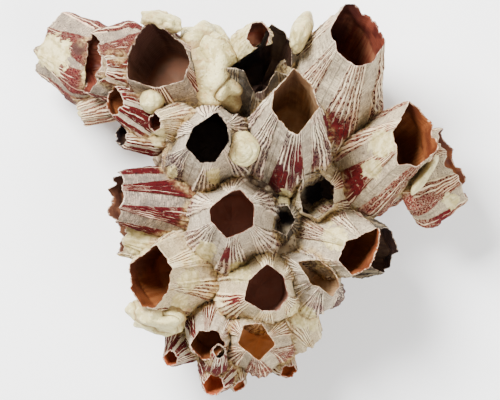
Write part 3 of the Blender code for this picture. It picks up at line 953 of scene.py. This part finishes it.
class CoatPaint:
    """The outside of a shell: plates with stripes, grey seams, wear, a painted highlight on the rib crests,
    cream growth, painted shade in dark spots, and cement.
    """

    def __init__(self, name: str, finish: CoatFinish, seed: int, stripes: int) -> None:
        """Start the material with what all its layers read.

        Args:
            name: The material's name.
            finish: The colours and shares.
            seed: Sets this shell's stripes apart from the others'.
            stripes: How many stripes a plate has.
        """
        self.finish = finish
        self.seed = float(seed % 97)
        self.stripes = stripes
        self.paint = Paint(name)
        self.where = self.paint.place()
        self.around, self.level = self.paint.map_parts("Plates")
        self.clouds = self.paint.noise(self.where, 190, 4, 0.6)
        self.red = self.paint.mark("red")

    def make(self) -> bpy.types.Material:
        """Build the material."""
        paint, clouds = self.paint, self.clouds
        dots, crossing, dashes = self._grid(30, 34, 7), self._grid(9, 120, 11), self._grid(90, 24, 13)
        specks = paint.noise(self.where, 1500, 3, 0.6)
        mask, border = self._stripes(dots)
        plate = paint.mark("plate").step(0.2, 0.6)
        surface = paint.mix(plate, self._seams(crossing, dashes), self._ribbed(mask, border, dots))
        surface, growth = self._cover(self._highlight_and_wear(surface, specks))
        lip = (self.level + (dashes - 0.5) * 0.06).step(0.988, 0.998)
        surface = paint.mix(lip * clouds.step(0.4, 0.55), surface, LIP_COLOUR)
        height = specks * 0.6 + self._grid(3, 90, 0) * 0.6 + crossing * 0.6 - mask * 0.3 + growth * 0.5
        return paint.finish(surface, clouds.step(-0.9, 0.8), paint.bump(height, 0.42 * MM, 0.95), 0.16)

    def _grid(self, wide: float, tall: float, shift: int) -> Signal:
        """Return noise stretched along the plates, with its own pitch each way."""
        where = self.paint.vector(self.around * wide, self.level * tall, self.seed + shift)
        return self.paint.noise(where, 1, 2, 0.6, 0.2)

    def _stripes(self, dots: Signal) -> tuple[Signal, Signal]:
        """Lay stripes in the grooves between ribs, more of them towards the foot.

        Args:
            dots: The noise that breaks them up.

        Returns:
            The stripes' mask, and their dark borders.
        """
        turn = self.around * (2 * math.pi * self.stripes) + self._grid(1.6, 2.4, 2) * 9
        total = self.paint.math("COSINE", turn) * 0.3 + self._grid(7, 1.6, 4) * 1.1
        total = total + self._grid(40, 5, 3) * 0.5 + self.paint.mark("dye") * 0.4 + self.red * 0.25
        total = total + self.level.step(0.7, 0.2) * 0.12
        low = 1.02 + 0.3 * math.cos(math.pi * self.finish.cover)
        gaps = dots.step(0.53, 0.45) * self.finish.broken * self.red.step(0.6, 0.1)
        mask = total.step(low, low + 0.045) * (1 - gaps)
        return mask, 1 - total.step(low + 0.04, low + 0.1)

    def _ribbed(self, mask: Signal, border: Signal, dots: Signal) -> Signal:
        """Return the striped plates' colour, with a blush low down and where the photograph is red.

        Args:
            mask: Where the stripes are.
            border: Where their dark borders are.
            dots: The noise that darkens them in spots.

        Returns:
            The colour.
        """
        f, paint = self.finish, self.paint
        ground = paint.mix(self.clouds.step(0.42, 0.62), f.ground, f.ground_warm)
        blush = self.level.step(0.8, 0.35) * paint.noise(self.where, 230, 4).step(0.46, 0.62)
        ground = paint.mix(blush.larger(self.red.step(0.1, 0.9)) * 0.55, ground, f.blush)
        redder = paint.math("ADD", self.red, self.level.step(0.6, 0.15) * 0.2, clamp=True)
        stripe = paint.mix(redder, f.stripe, RED_STRIPE)
        stripe = paint.mix(border.larger(dots.step(0.56, 0.66)), stripe, f.stripe_dark)
        return paint.mix(mask, ground, stripe)

    def _seams(self, crossing: Signal, dashes: Signal) -> Signal:
        """Return the colour between the plates: grey, with pale lines across and dark dashes."""
        f, paint = self.finish, self.paint
        pale = crossing.step(0.44, 0.6) * 0.55 * self.clouds.step(0.66, 0.4)
        seam = paint.mix(pale, f.seam_grey, f.ground)
        return paint.mix(dashes.step(0.55, 0.62) * 0.55, seam, f.stripe_dark)

    def _highlight_and_wear(self, surface: Signal, specks: Signal) -> Signal:
        """Paint a highlight on the ribs' crests, rub patches bare and add dark specks."""
        f, paint = self.finish, self.paint
        # Painted highlight: the ribs' highest crests are lightened towards the ground colour.
        surface = paint.mix(paint.mark("rib").step(0.9, 1.15) * 0.3, surface, f.ground)
        worn = paint.noise(self.where, 420, 5, 0.75).step(0.57, 0.65)
        surface = paint.mix(worn * 0.22, surface, f.ground)
        return paint.mix(specks.step(0.62, 0.7) * 0.3, surface, f.stripe_dark)

    def _cover(self, surface: Signal) -> tuple[Signal, Signal]:
        """Lay cream growth, painted shade in dark gaps and pits, and cement over the shell.

        Args:
            surface: The shell's own colour.

        Returns:
            The covered colour, and where the growth is.
        """
        paint, where = self.paint, self.where
        patchy = paint.noise(where, 130) * 0.4 + paint.noise(where, 360, 4, 0.65, 0.5) * 0.6
        spread = 0.3 * self.finish.cream
        growth = (paint.mark("cream") * 0.5 + patchy).step(0.74 - spread, 0.8 - spread)
        cream = paint.mix(paint.noise(where, 420, 4, 0.6).step(0.38, 0.62), *COVER_CREAM)
        surface = paint.mix(growth * 0.92, surface, cream)
        # Painted shade: the dark spots darken gaps and pits towards near black.
        stain = paint.mark("stain") + self.clouds * 0.5
        surface = paint.mix(stain.step(0.62, 0.95) * 0.85, surface, PAINTED_SHADE_COLOUR)
        tan = paint.mix(paint.noise(where, 700, 3, 0.6).step(0.4, 0.6), *CEMENT_COLOURS)
        return paint.mix(paint.mark("cement") * self.clouds.step(0.34, 0.66), surface, tan), growth


class LiningPaint:
    """The inside of a cup: a pale edge over smooth glossy brown, with growth lines round it."""

    def __init__(self, name: str, finish: LiningFinish, seed: int) -> None:
        """Keep the finish for making."""
        self.name = name
        self.finish = finish
        self.seed = float(seed % 89)

    def make(self) -> bpy.types.Material:
        """Build the material."""
        f, paint = self.finish, Paint(self.name)
        where = paint.place()
        around, _ = paint.map_parts("Plates")
        depth = paint.mark("depth")
        clouds = paint.noise(where, 160, 3, 0.6)
        lines = paint.noise(paint.vector(around * 0.9, depth * 56, self.seed), 1, 2, 0.55, 0.3)
        streaks = paint.noise(paint.vector(around * 12, depth * 1.5, self.seed + 5), 1, 2.5, 0.6, 0.3)
        floor = depth.step(0.86, 0.99)
        upper = paint.mix(clouds.step(0.38, 0.6), f.wall_dark, f.wall)
        upper = paint.mix(lines.step(0.45, 0.6) * 0.6, upper, f.wall_dark)
        lower = paint.mix(streaks.step(0.42, 0.6), f.wall, f.deep)
        surface = paint.mix(paint.mark("below"), upper, lower)
        # Painted shade: the inner wall on the light's side faces away from it and is darkened, broken up by
        # noise that adds some real staining.
        shade_and_stain = paint.mark("lee") + clouds * 0.5
        surface = paint.mix(shade_and_stain.step(0.85, 1.2) * 0.9, surface, f.lee)
        surface = paint.mix(floor, surface, paint.mix(clouds.step(0.4, 0.62), f.wall, f.deep))
        crumbs = paint.noise(where, 800, 3, 0.6)
        edge = paint.mix(crumbs.step(0.4, 0.56), f.edge, f.wall_dark)
        surface = paint.mix((depth + (crumbs - 0.5) * 0.12).step(0.022, 0.004), surface, edge)
        height = (lines + streaks * 0.4) * (1 - floor)
        return paint.finish(surface, floor * 0.4 + f.roughness, paint.bump(height, 0.22 * MM, 0.6), 0.22)


class GrowthPaint:
    """Smooth cream growth with painted shade in its folds, rusty tints and small pits."""

    def __init__(self, name: str, light: Colour, shade: Colour) -> None:
        """Keep the colours for making."""
        self.name = name
        self.light = light
        self.shade = shade

    def make(self) -> bpy.types.Material:
        """Build the material."""
        paint = Paint(self.name)
        where = paint.place()
        clouds = paint.noise(where, 150, 4, 0.6, 0.4)
        spots = paint.noise(where, 620, 3, 0.6)
        rust = paint.noise(where, 260, 4, 0.65).step(0.56, 0.67)
        specks = paint.noise(where, 1100, 2, 0.5).step(0.62, 0.7)
        surface = paint.mix(clouds.step(0.4, 0.64), self.light, self.shade)
        for share, colour in (
            (spots.step(0.52, 0.66) * 0.5, (0.76, 0.69, 0.42)),
            (rust * 0.5, (0.4, 0.23, 0.09)),
            # Painted shade: the creases of the folds are darkened.
            (paint.mark("fold").step(0.25, 0.85) * 0.75, (0.24, 0.15, 0.06)),
            (paint.mark("cement") * 0.7, (0.2, 0.12, 0.05)),
            (specks * 0.5, (0.13, 0.075, 0.03)),
        ):
            surface = paint.mix(share, surface, colour)
        height = paint.cells(where, 900).step(0.0, 0.5) * 0.6 + spots
        return paint.finish(surface, 0.6, paint.bump(height, 0.4 * MM, 0.8), 0.3)


class CrustPaint:
    """The crust under the shells: tan cement with old plates, stripes and dirt in it, painted shade in its
    folds and near-black painted shade in the pits.
    """

    def make(self) -> bpy.types.Material:
        """Build the material."""
        paint = Paint("old_crust")
        where = paint.place()
        clouds = paint.noise(where, 85, 5, 0.62, 0.6)
        spots = paint.noise(where, 480, 4, 0.65)
        surface = paint.mix(clouds.step(0.36, 0.6), (0.62, 0.5, 0.32), (0.3, 0.2, 0.11))
        for share, colour in (
            (clouds.step(0.55, 0.64) * 0.7, (0.1, 0.022, 0.02)),
            (spots.step(0.5, 0.64), (0.09, 0.05, 0.03)),
            # Painted shade: the folds' creases are darkened, broken up by spots.
            ((paint.mark("fold") + spots * 0.5).step(0.5, 1.0) * 0.85, (0.05, 0.028, 0.018)),
            # Painted shade: near black in the pits that the dark spots cover.
            (paint.mark("stain").step(0.3, 0.7), (0.012, 0.008, 0.008)),
        ):
            surface = paint.mix(share, surface, colour)
        return paint.finish(surface, 0.82, paint.bump(spots, 0.9 * MM, 0.9), 0.22)


@dataclass
class ShellBuilder:
    """Makes the shells: meshes, cuts and coats."""

    large_columns: int = 192
    small_columns: int = 112
    outer_rows: int = 60
    inner_rows: int = 22
    floor_rows: int = 5
    cutter_columns: int = 48
    cutter_rows: int = 10

    def cup(self, form: ShellForm) -> bpy.types.Object:
        """Roll a grid up to an open cup with plates, ribs and a chipped rim.

        Args:
            form: The shell's frame and outline.

        Returns:
            The closed mesh, with its marks and UV map.
        """
        columns = self.large_columns if form.large else self.small_columns
        outer = self.outer_rows if form.large else self.outer_rows * 2 // 3
        inner = self.inner_rows if form.large else self.inner_rows * 2 // 3
        rows = 1 + outer + 2 + inner + self.floor_rows
        thing, column, row = add_grid(form.shell.name + "_shell", columns, rows)
        turn = column % columns / columns * 2 * math.pi

        on_outer = (row >= 1) & (row <= 1 + outer)
        on_rim = row == 2 + outer
        on_inner = (row > 2 + outer) & (row <= 3 + outer + inner)
        on_floor = row > 3 + outer + inner
        level = np.clip((row - 1) / outer, 0, 1)
        radius = form.smooth_radius(level, turn)
        bare = form.points(level, turn, radius)
        height, ribbing, rib = form.relief(level, turn, bare)
        radius = radius + height

        depth = np.clip((row - 3 - outer) / inner, 0, 1)
        inner_level = 1 - depth * (1 - FLOOR_LEVEL)
        hollow = self._hollow(form, depth, turn)
        inside = on_inner | on_floor
        behind = self._hollow(form, np.clip((1 - level) / (1 - FLOOR_LEVEL), 0, 1), turn)
        thinned = np.minimum(radius, behind + EDGE_WALL + (1 - level) * 12 * MM)
        radius = np.where(level > FLOOR_LEVEL, np.maximum(thinned, behind + THIN_WALL), radius)
        radius = np.where(inside, hollow, radius)
        level = np.where(inside, inner_level, level)

        rim_lift = self._rim_lift(form, turn) * smoothstep(level, 0.8, 1.0)
        radius = np.where(on_rim, behind + EDGE_WALL / 2, radius)
        rim_lift = rim_lift + np.where(on_rim, 0.06 * MM, 0) - np.where(inside, 0.1 * MM, 0)

        sunk = np.clip((row - 3 - outer - inner) / self.floor_rows, 0, 1)
        radius = np.where(on_floor, hollow * np.cos(sunk * math.pi / 2), radius)
        pole = (row == 0) | (row == rows)
        radius = np.where(pole, 0, radius)
        places = form.points(level, turn, radius) + rim_lift[:, None] * form.axis
        drop = np.where(on_floor, -np.sin(sunk * math.pi / 2) * FLOOR_SAG * form.length, 0)
        places += drop[:, None] * form.axis
        pole_level = np.where(row == 0, 0, FLOOR_LEVEL - FLOOR_SAG)
        centre = form.foot + np.outer(pole_level * form.length, form.axis)
        places = np.where(pole[:, None], centre, places)
        move_corners(thing, places)

        write_mark(thing, "plate", np.where(on_outer, ribbing, 0))
        write_mark(thing, "rib", np.where(on_outer, rib, 0))
        write_mark(thing, "depth", np.where(inside, np.where(on_floor, 1.0, depth), 0))
        plate, _, counted = form.plate_place(level, turn)
        write_mark(thing, "dye", form.dye(plate, level, bare))
        # How far each place of the wall lies on the light's side, where the lining gets painted shade.
        write_mark(thing, "lee", 0.5 + 0.5 * (form.ray(turn) @ TOWARD_LIGHT))
        write_mark(thing, "below", self._below(form, depth, turn))
        counted = np.where((column > columns / 2) & (counted < PLATES / 2), counted + PLATES, counted)
        counted = np.where((column < columns / 2) & (counted > PLATES / 2), counted - PLATES, counted)
        self._write_map(thing, counted, level)
        lining = np.zeros(len(thing.data.polygons), dtype=np.int32)
        face_row = np.empty(len(thing.data.loops), dtype=np.int64)
        thing.data.loops.foreach_get("vertex_index", face_row)
        lowest = row[face_row].reshape(-1, 4).min(axis=1)
        lining[lowest >= 1 + outer] = 1
        thing.data.polygons.foreach_set("material_index", lining)
        close_up(thing)
        return thing

    @staticmethod
    def _write_map(thing: bpy.types.Object, across: Array, upward: Array) -> None:
        """Store a UV map from numbers at the corners.

        Args:
            thing: The mesh.
            across: The first number at each corner.
            upward: The second.
        """
        corner = np.empty(len(thing.data.loops), dtype=np.int64)
        thing.data.loops.foreach_get("vertex_index", corner)
        layer = thing.data.uv_layers.new(name="Plates")
        both = np.stack([across[corner], upward[corner]], axis=1).astype(np.float32)
        layer.data.foreach_set("uv", both.ravel())

    @staticmethod
    def _below(form: ShellForm, depth: Array, turn: Array) -> Array:
        """Return 0 above the ledge inside a cup and 1 below it."""
        ledge_at = 0.34 + 0.1 * np.cos(2 * turn + form.seed) + 0.05 * np.cos(turn + form.seed)
        return smoothstep(depth - ledge_at, 0.0, 0.05)

    @staticmethod
    def _hollow(form: ShellForm, depth: Array, turn: Array) -> Array:
        """Return the inner wall's radius.

        Args:
            form: The shell's frame and outline.
            depth: From 0 at the rim to 1 at the floor.
            turn: The angle round the axis.

        Returns:
            The radius in metres.
        """
        level = 1 - depth * (1 - FLOOR_LEVEL)
        edge = form.read(form.reach, turn)
        full = form.smooth_radius(level, turn)
        wall = np.interp(level, (FLOOR_LEVEL, THROAT_LEVEL, 1.0), (2 * DEEP_WALL, DEEP_WALL, 0.0))
        share = smoothstep(level, THROAT_LEVEL, 1.0)
        return full * (1 - wall) * (1 - share) + edge * share + ShellBuilder._sheath(form, depth, turn)

    @staticmethod
    def _sheath(form: ShellForm, depth: Array, turn: Array) -> Array:
        """Return the inner wall's relief: fine rings down to a ledge, then faint grooves.

        Args:
            form: The shell's frame and outline.
            depth: From 0 at the rim to 1 at the floor.
            turn: The angle round the axis.

        Returns:
            The relief in metres.
        """
        ring = grain(np.stack([np.cos(turn) * 1.5, np.sin(turn) * 1.5, depth * 26], axis=1), form.seed + 31)
        below = ShellBuilder._below(form, depth, turn)
        groove = 0.16 * np.cos(turn * 24) * below * (1 - depth)
        return form.relief_size * (0.14 * ring * (1 - below) + 0.55 * below * (1 - depth) / 0.6 + groove)

    @staticmethod
    def _rim_lift(form: ShellForm, turn: Array) -> Array:
        """Return how far the ragged rim stands up: plate tips, notches and chips.

        Args:
            form: The shell's frame and outline.
            turn: The angle round the axis.

        Returns:
            The rise in metres, less than 0 in a notch.
        """
        _, ribbed, _ = form.plate_place(np.ones_like(turn), turn)
        tips = 0.7 * (1 - smoothstep(np.abs(ribbed), 0.6, 1.6))
        round_turn = np.stack([np.cos(turn), np.sin(turn), turn * 0], axis=1)
        ragged = smoothstep(grain(round_turn * 2.5, form.seed + 7), -0.2, 0.3)
        bites = np.minimum(0, grain(round_turn * 3.2, form.seed + 3)) * 2.2
        chips = grain(round_turn * 7, form.seed + 6) * (0.25 + 0.45 * ragged)
        chips += grain(round_turn * 19, form.seed + 4) * 0.3 * ragged
        return form.relief_size * (tips + bites + chips)

    def envelope(self, form: ShellForm) -> bpy.types.Object:
        """Make the filled shell, a little smaller, which cuts what is cemented to it.

        Args:
            form: The shell's frame and outline.

        Returns:
            The closed mesh, with its box noted.
        """
        thing, column, row = add_grid(form.shell.name + "_seat", self.cutter_columns, self.cutter_rows + 2)
        turn = column % self.cutter_columns / self.cutter_columns * 2 * math.pi
        level = np.clip((row - 1) / self.cutter_rows, 0, 1)
        radius = form.smooth_radius(level, turn) - SINK + form.broad_ribs(level, turn)
        places = form.points(level, turn, radius)
        last = self.cutter_rows + 2
        top = form.foot + form.axis * (form.length + form.shell.chipped * form.length)
        places = np.where((row == 0)[:, None], form.foot, places)
        places = np.where((row == last)[:, None], top, places)
        move_corners(thing, places)
        close_up(thing)
        return as_cutter(thing)

    def coat(self, thing: bpy.types.Object, form: ShellForm) -> None:
        """Give a shell its outside and lining.

        Args:
            thing: The shell's mesh.
            form: The shell's frame and outline.
        """
        shell = form.shell
        few = STRIPES_BOLD if shell.coat is Coat.BOLD else STRIPES_SMALL
        stripes = STRIPES_LARGE if form.large else few
        outside = CoatPaint(shell.name + "_coat", COATS[shell.coat], form.seed, stripes)
        lining = LiningPaint(shell.name + "_lining", LININGS[shell.lining], form.seed)
        thing.data.materials.append(outside.make())
        thing.data.materials.append(lining.make())


@dataclass
class CrustBuilder:
    """Makes the crust under the cluster and the growths on the shells."""

    columns: int = 216
    rows: int = 60
    cut_rows: int = 16
    cutter_columns: int = 72
    cutter_rows: int = 24
    lump_detail: int = 6    # 20,480 faces a growth

    def outline(self, turn: Array, height: Array) -> Array:
        """Work out the crust's reach at a turn and height.

        Args:
            turn: The angle round the middle.
            height: The height in millimetres.

        Returns:
            The reach in millimetres.
        """
        heights, radii = zip(*CRUST_RINGS)
        radius = np.interp(height, heights + (CRUST_TOP,), radii + (0.0,))
        degrees = np.degrees(turn)
        lobes = sum(
            reach * np.exp(-(((degrees - toward + 180) % 360 - 180) / spread) ** 2)
            for toward, reach, spread in CRUST_LOBES
        )
        spots = np.stack([np.cos(turn) * radius, np.sin(turn) * radius, height], axis=1)
        bump = np.array([noise.noise(Vector(spot) * CRUST_GRAIN) for spot in spots]) * CRUST_BUMP
        toward, spread, share = CRUST_LOW
        away = (degrees - toward + 180) % 360 - 180
        low = share * np.exp(-((away / spread) ** 2))
        low = low * np.clip((height - CRUST_LOW_FROM) / (CRUST_LOW_TO - CRUST_LOW_FROM), 0, 1)
        return (radius + lobes * radius / CRUST_RINGS[-3][1] + bump * (radius > 0)) * (1 - low)

    def solid(self, name: str, sink: float, fine: bool) -> bpy.types.Object:
        """Roll a grid up to the crust.

        Args:
            name: The object's name.
            sink: How far inside the true surface it lies, in metres.
            fine: Whether it has the fine relief.

        Returns:
            The closed mesh.
        """
        columns = self.columns if fine else self.cutter_columns
        upper = self.rows if fine else self.cutter_rows
        under = self.cut_rows if fine else 1
        thing, column, row = add_grid(name, columns, upper + under)
        turn = column % columns / columns * 2 * math.pi
        share = np.clip((row - under) / upper, 0, 1)
        height = share * CRUST_TOP
        reach = self.outline(turn, height) * MM - sink
        inward = np.clip(row / under, 0, 1)
        reach = np.where(row < under, (self.outline(turn, height * 0) * MM - sink) * inward, reach)
        ray = np.stack([np.cos(turn), np.sin(turn), turn * 0], axis=1)
        middle = place(CRUST_MIDDLE_PX, 0)
        rise = np.outer(height * MM - sink * share, [0, 0, 1])
        places = middle + ray * np.maximum(reach, 0)[:, None] + rise
        if fine:
            lumps = np.abs(rough_grain(places / CRUST_FOLD_GRAIN, 501)) * FOLD_DEPTH
            lumps += rough_grain(places / CRUST_FINE_GRAIN, 502) * 0.3
            write_mark(thing, "fold", np.clip(lumps / FOLD_DEPTH, 0, 1) * (row >= under))
            depth = np.clip(lumps, 0, 3) * MM * smoothstep(share, 0.0, 0.06) * (row >= under)
            places -= ray * (depth * smoothstep(reach, 0.0, 8 * MM))[:, None]
            rings = np.abs(np.sin(np.hypot(places[:, 0] + 0.004, places[:, 1]) / UNDER_RINGS))
            hollow = np.clip(0.5 * rings + rough_grain(places / CRUST_PIT_GRAIN, 503), 0, 1) * 0.9 * MM
            places[:, 2] += hollow * (row < under) * smoothstep(1 - inward, 0.0, 0.12)
        pole = row == upper + under
        places = np.where(pole[:, None], middle + np.array([0, 0, CRUST_TOP * MM - sink]), places)
        move_corners(thing, places)
        close_up(thing)
        return thing

    def lump(self, growth: Growth) -> bpy.types.Object:
        """Shape a ball of many faces to an uneven growth.

        Args:
            growth: The growth's place and sizes.

        Returns:
            The closed mesh.
        """
        bpy.ops.object.select_all(action="DESELECT")
        bpy.ops.mesh.primitive_ico_sphere_add(subdivisions=self.lump_detail, radius=1)
        thing = bpy.context.object
        thing.name = thing.data.name = growth.name + "_growth"
        rays = corners_of(thing)
        rays /= np.linalg.norm(rays, axis=1)[:, None]
        middle = place(growth.middle_px, growth.height)
        turn, tip = math.radians(growth.turn), math.radians(growth.tip)
        along = np.array([math.cos(turn), math.sin(turn), 0])
        across = np.array([-math.sin(turn) * math.cos(tip), math.cos(turn) * math.cos(tip), math.sin(tip)])
        axes = np.array([along, across, np.cross(along, across)])
        shift = Vector(middle / MM)
        uneven = np.array([noise.noise(Vector(ray) * LUMP_GRAIN + shift) for ray in rays])
        reach = rays * (np.array(growth.radii) * MM * (1 + growth.roughness * uneven)[:, None])
        places = middle + reach @ axes
        folded = self._folds(places, axes) * min(1.0, growth.folds)
        write_mark(thing, "fold", folded)
        pebbled = rough_grain(places / (5 * MM), 613, 4)
        outward = reach / np.linalg.norm(reach, axis=1)[:, None] @ axes
        relief = -growth.folds * MM * folded + 0.22 * MM * pebbled - 0.2 * MM
        if growth.ringed:
            away = np.arccos(rays[:, 2]) + 0.16 * grain(places / (3.5 * MM), 617)
            ring = 0.55 * MM * np.exp(-(((away - 0.62) / 0.09) ** 2))
            relief -= ring + 0.5 * MM * smoothstep(away, 0.9, 1.1)
        places += outward * relief[:, None]
        move_corners(thing, places)
        return thing

    @staticmethod
    def _folds(places: Array, axes: Array) -> Array:
        """Return how near each place of a growth is to a crease, up to 1 in its middle."""
        swirl = np.stack([grain(places / CREASE_GRAIN, 605 + axis) for axis in range(3)], axis=1)
        along, across, rise = axes
        stretched = places @ np.array([along / 2.2, across, rise]).T
        crease = np.abs(grain(stretched / (7 * MM) + 0.9 * swirl, 611))
        return np.exp(-((crease / 0.1) ** 2))


@dataclass
class Cluster:
    """The whole object: builds every piece in the order that the shells grew."""

    shells: tuple[Shell, ...]
    growths: tuple[Growth, ...]
    box: tuple[Vector, Vector]

    def build(self) -> None:
        """Make the crust, the shells and the growths, each cut by what was there before it."""
        crust_maker, shell_maker = CrustBuilder(), ShellBuilder()
        forms = [ShellForm(shell) for shell in self.shells]
        crust = crust_maker.solid("crust_base_rubble", 0.0, True)
        crust.data.materials.append(CrustPaint().make())
        self._mark_spots(crust, CRUST_SPOTS_ABOVE)
        self._hand_over(crust, "crust_base")
        seats = [as_cutter(crust_maker.solid("crust_seat", SINK, False))]
        for form in forms:
            piece = shell_maker.cup(form)
            shell_maker.coat(piece, form)
            cut_by(piece, seats)
            seats.append(shell_maker.envelope(form))
            self._mark_seams(piece, [other for other in forms if other is not form])
            self._hand_over(piece, form.shell.name)
        cream = GrowthPaint("cream_growth", (0.56, 0.49, 0.235), (0.37, 0.3, 0.12)).make()
        for growth in self.growths:
            piece = crust_maker.lump(growth)
            piece.data.materials.append(cream)
            cut_by(piece, seats)
            self._mark_seams(piece, forms)
            self._hand_over(piece, growth.name)
        for seat in seats:
            bpy.data.objects.remove(seat, do_unlink=True)

    def _keep_inside(self, piece: bpy.types.Object) -> None:
        """Hold a piece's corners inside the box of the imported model."""
        low, high = (np.array(corner) for corner in self.box)
        move_corners(piece, np.clip(corners_of(piece), low + BOX_MARGIN, high - BOX_MARGIN))

    @staticmethod
    def _mark_seams(piece: bpy.types.Object, others: list[ShellForm]) -> None:
        """Store how near each corner is to a neighbour's wall, where cement gathers, and its spots.

        Args:
            piece: The finished mesh.
            others: The shells that it may touch.
        """
        corners = corners_of(piece)
        low, high = corners.min(axis=0), corners.max(axis=0)
        nearest = np.full(len(corners), 1.0)
        for other in others:
            reach = max(other.shell.foot_radius * MM, other.half_mouth) + other.length
            if (np.abs(other.foot - (low + high) / 2) > (high - low) / 2 + reach).any():
                continue
            nearest = np.minimum(nearest, np.maximum(other.beyond(corners), 0))
        write_mark(piece, "cement", np.exp(-((nearest / CEMENT_REACH) ** 2)))
        Cluster._mark_spots(piece, SPOTS_ABOVE)

    @staticmethod
    def _mark_spots(piece: bpy.types.Object, lowest: float) -> None:
        """Store how much each spot of the photograph covers each corner, by the place across the picture.

        Args:
            piece: The finished mesh.
            lowest: The height under which no spot shows.
        """
        corners = corners_of(piece)
        seen = smoothstep(corners[:, 2], lowest, lowest + SPOTS_FADE)
        for mark in Mark:
            share = np.zeros(len(corners))
            for spot in SPOTS:
                if spot.mark is mark:
                    away = np.linalg.norm((corners - place(spot.pixel, 0))[:, :2], axis=1)
                    share = np.maximum(share, np.exp(-((away / (spot.radius * PIXEL)) ** 2)))
            write_mark(piece, mark.value, share * seen)

    def _hand_over(self, piece: bpy.types.Object, node: str) -> None:
        """Shade a piece smooth, set it in the frame in its node's place, and report it.

        Args:
            piece: The finished mesh.
            node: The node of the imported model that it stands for.
        """
        self._keep_inside(piece)
        select_only(piece)
        bpy.ops.object.shade_smooth_by_angle(angle=math.radians(55))
        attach(piece, "root")
        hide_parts(node)
        LOG.info("%s stands for %s with %d faces", piece.name, node, len(piece.data.polygons))


@dataclass
class Studio:
    """The pale floor, soft light and camera."""

    camera_height: float = 3.0
    sharp_height: float = 0.055

    def build(self) -> None:
        """Make the floor, the lights and the camera."""
        self._floor()
        self._light("key_light", (-0.42, 0.5, 0.85), 0.4, 48.0)
        self._light("fill_light", (0.55, -0.5, 0.8), 0.8, 16.0)
        self._light("rim_light", (0.2, 0.9, 0.35), 0.5, 4.0)
        self._world()
        self._camera()

    @staticmethod
    def _floor() -> None:
        """Make a wide pale floor just under the object."""
        bpy.ops.object.select_all(action="DESELECT")
        bpy.ops.mesh.primitive_plane_add(size=6, location=(0, 0, -0.0002))
        floor = bpy.context.object
        floor.name = "floor"
        paint = Paint("pale_floor")
        dust = paint.noise(paint.place(), 3, 2)
        colour = paint.mix(dust, (0.97, 0.97, 0.97), (0.95, 0.95, 0.95))
        floor.data.materials.append(paint.finish(colour, 0.9, paint.bump(dust, 0.0002, 0.1), 0.2))
        floor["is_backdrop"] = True

    @staticmethod
    def _light(name: str, where: tuple[float, float, float], size: float, power: float) -> None:
        """Add a soft square light that faces the object.

        Args:
            name: The light's name.
            where: Its place in metres.
            size: Its side in metres.
            power: Its power in watts.
        """
        lamp = bpy.data.lights.new(name, "AREA")
        lamp.energy = power
        lamp.size = size
        thing = bpy.data.objects.new(name, lamp)
        thing.location = where
        thing.rotation_euler = (Vector((0, 0, 0.03)) - Vector(where)).to_track_quat("-Z", "Y").to_euler()
        bpy.context.scene.collection.objects.link(thing)

    @staticmethod
    def _world() -> None:
        """Surround the object with even pale light."""
        world = bpy.data.worlds.new("pale_room")
        world.use_nodes = True
        background = world.node_tree.nodes["Background"]
        background.inputs["Color"].default_value = (1, 1, 1, 1)
        background.inputs["Strength"].default_value = 0.52
        bpy.context.scene.world = world

    def _camera(self) -> None:
        """Look straight down, framed as the photograph is."""
        lens = bpy.data.cameras.new("camera")
        half = FRAME_PIXELS * PIXEL / 2
        lens.sensor_fit = "HORIZONTAL"
        lens.angle = 2 * math.atan(half / (self.camera_height - self.sharp_height))
        lens.clip_end = 20
        camera = bpy.data.objects.new("camera", lens)
        camera.location = (0, 0, self.camera_height)
        bpy.context.scene.collection.objects.link(camera)
        bpy.context.scene.camera = camera


def main() -> None:
    """Load the frame, note its box, and build the cluster and the studio."""
    logging.basicConfig(level=logging.INFO, format="%(name)s: %(message)s")
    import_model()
    cad_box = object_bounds()
    Cluster(SHELLS, GROWTHS, cad_box).build()
    Studio().build()


if __name__ == "__main__":
    main()
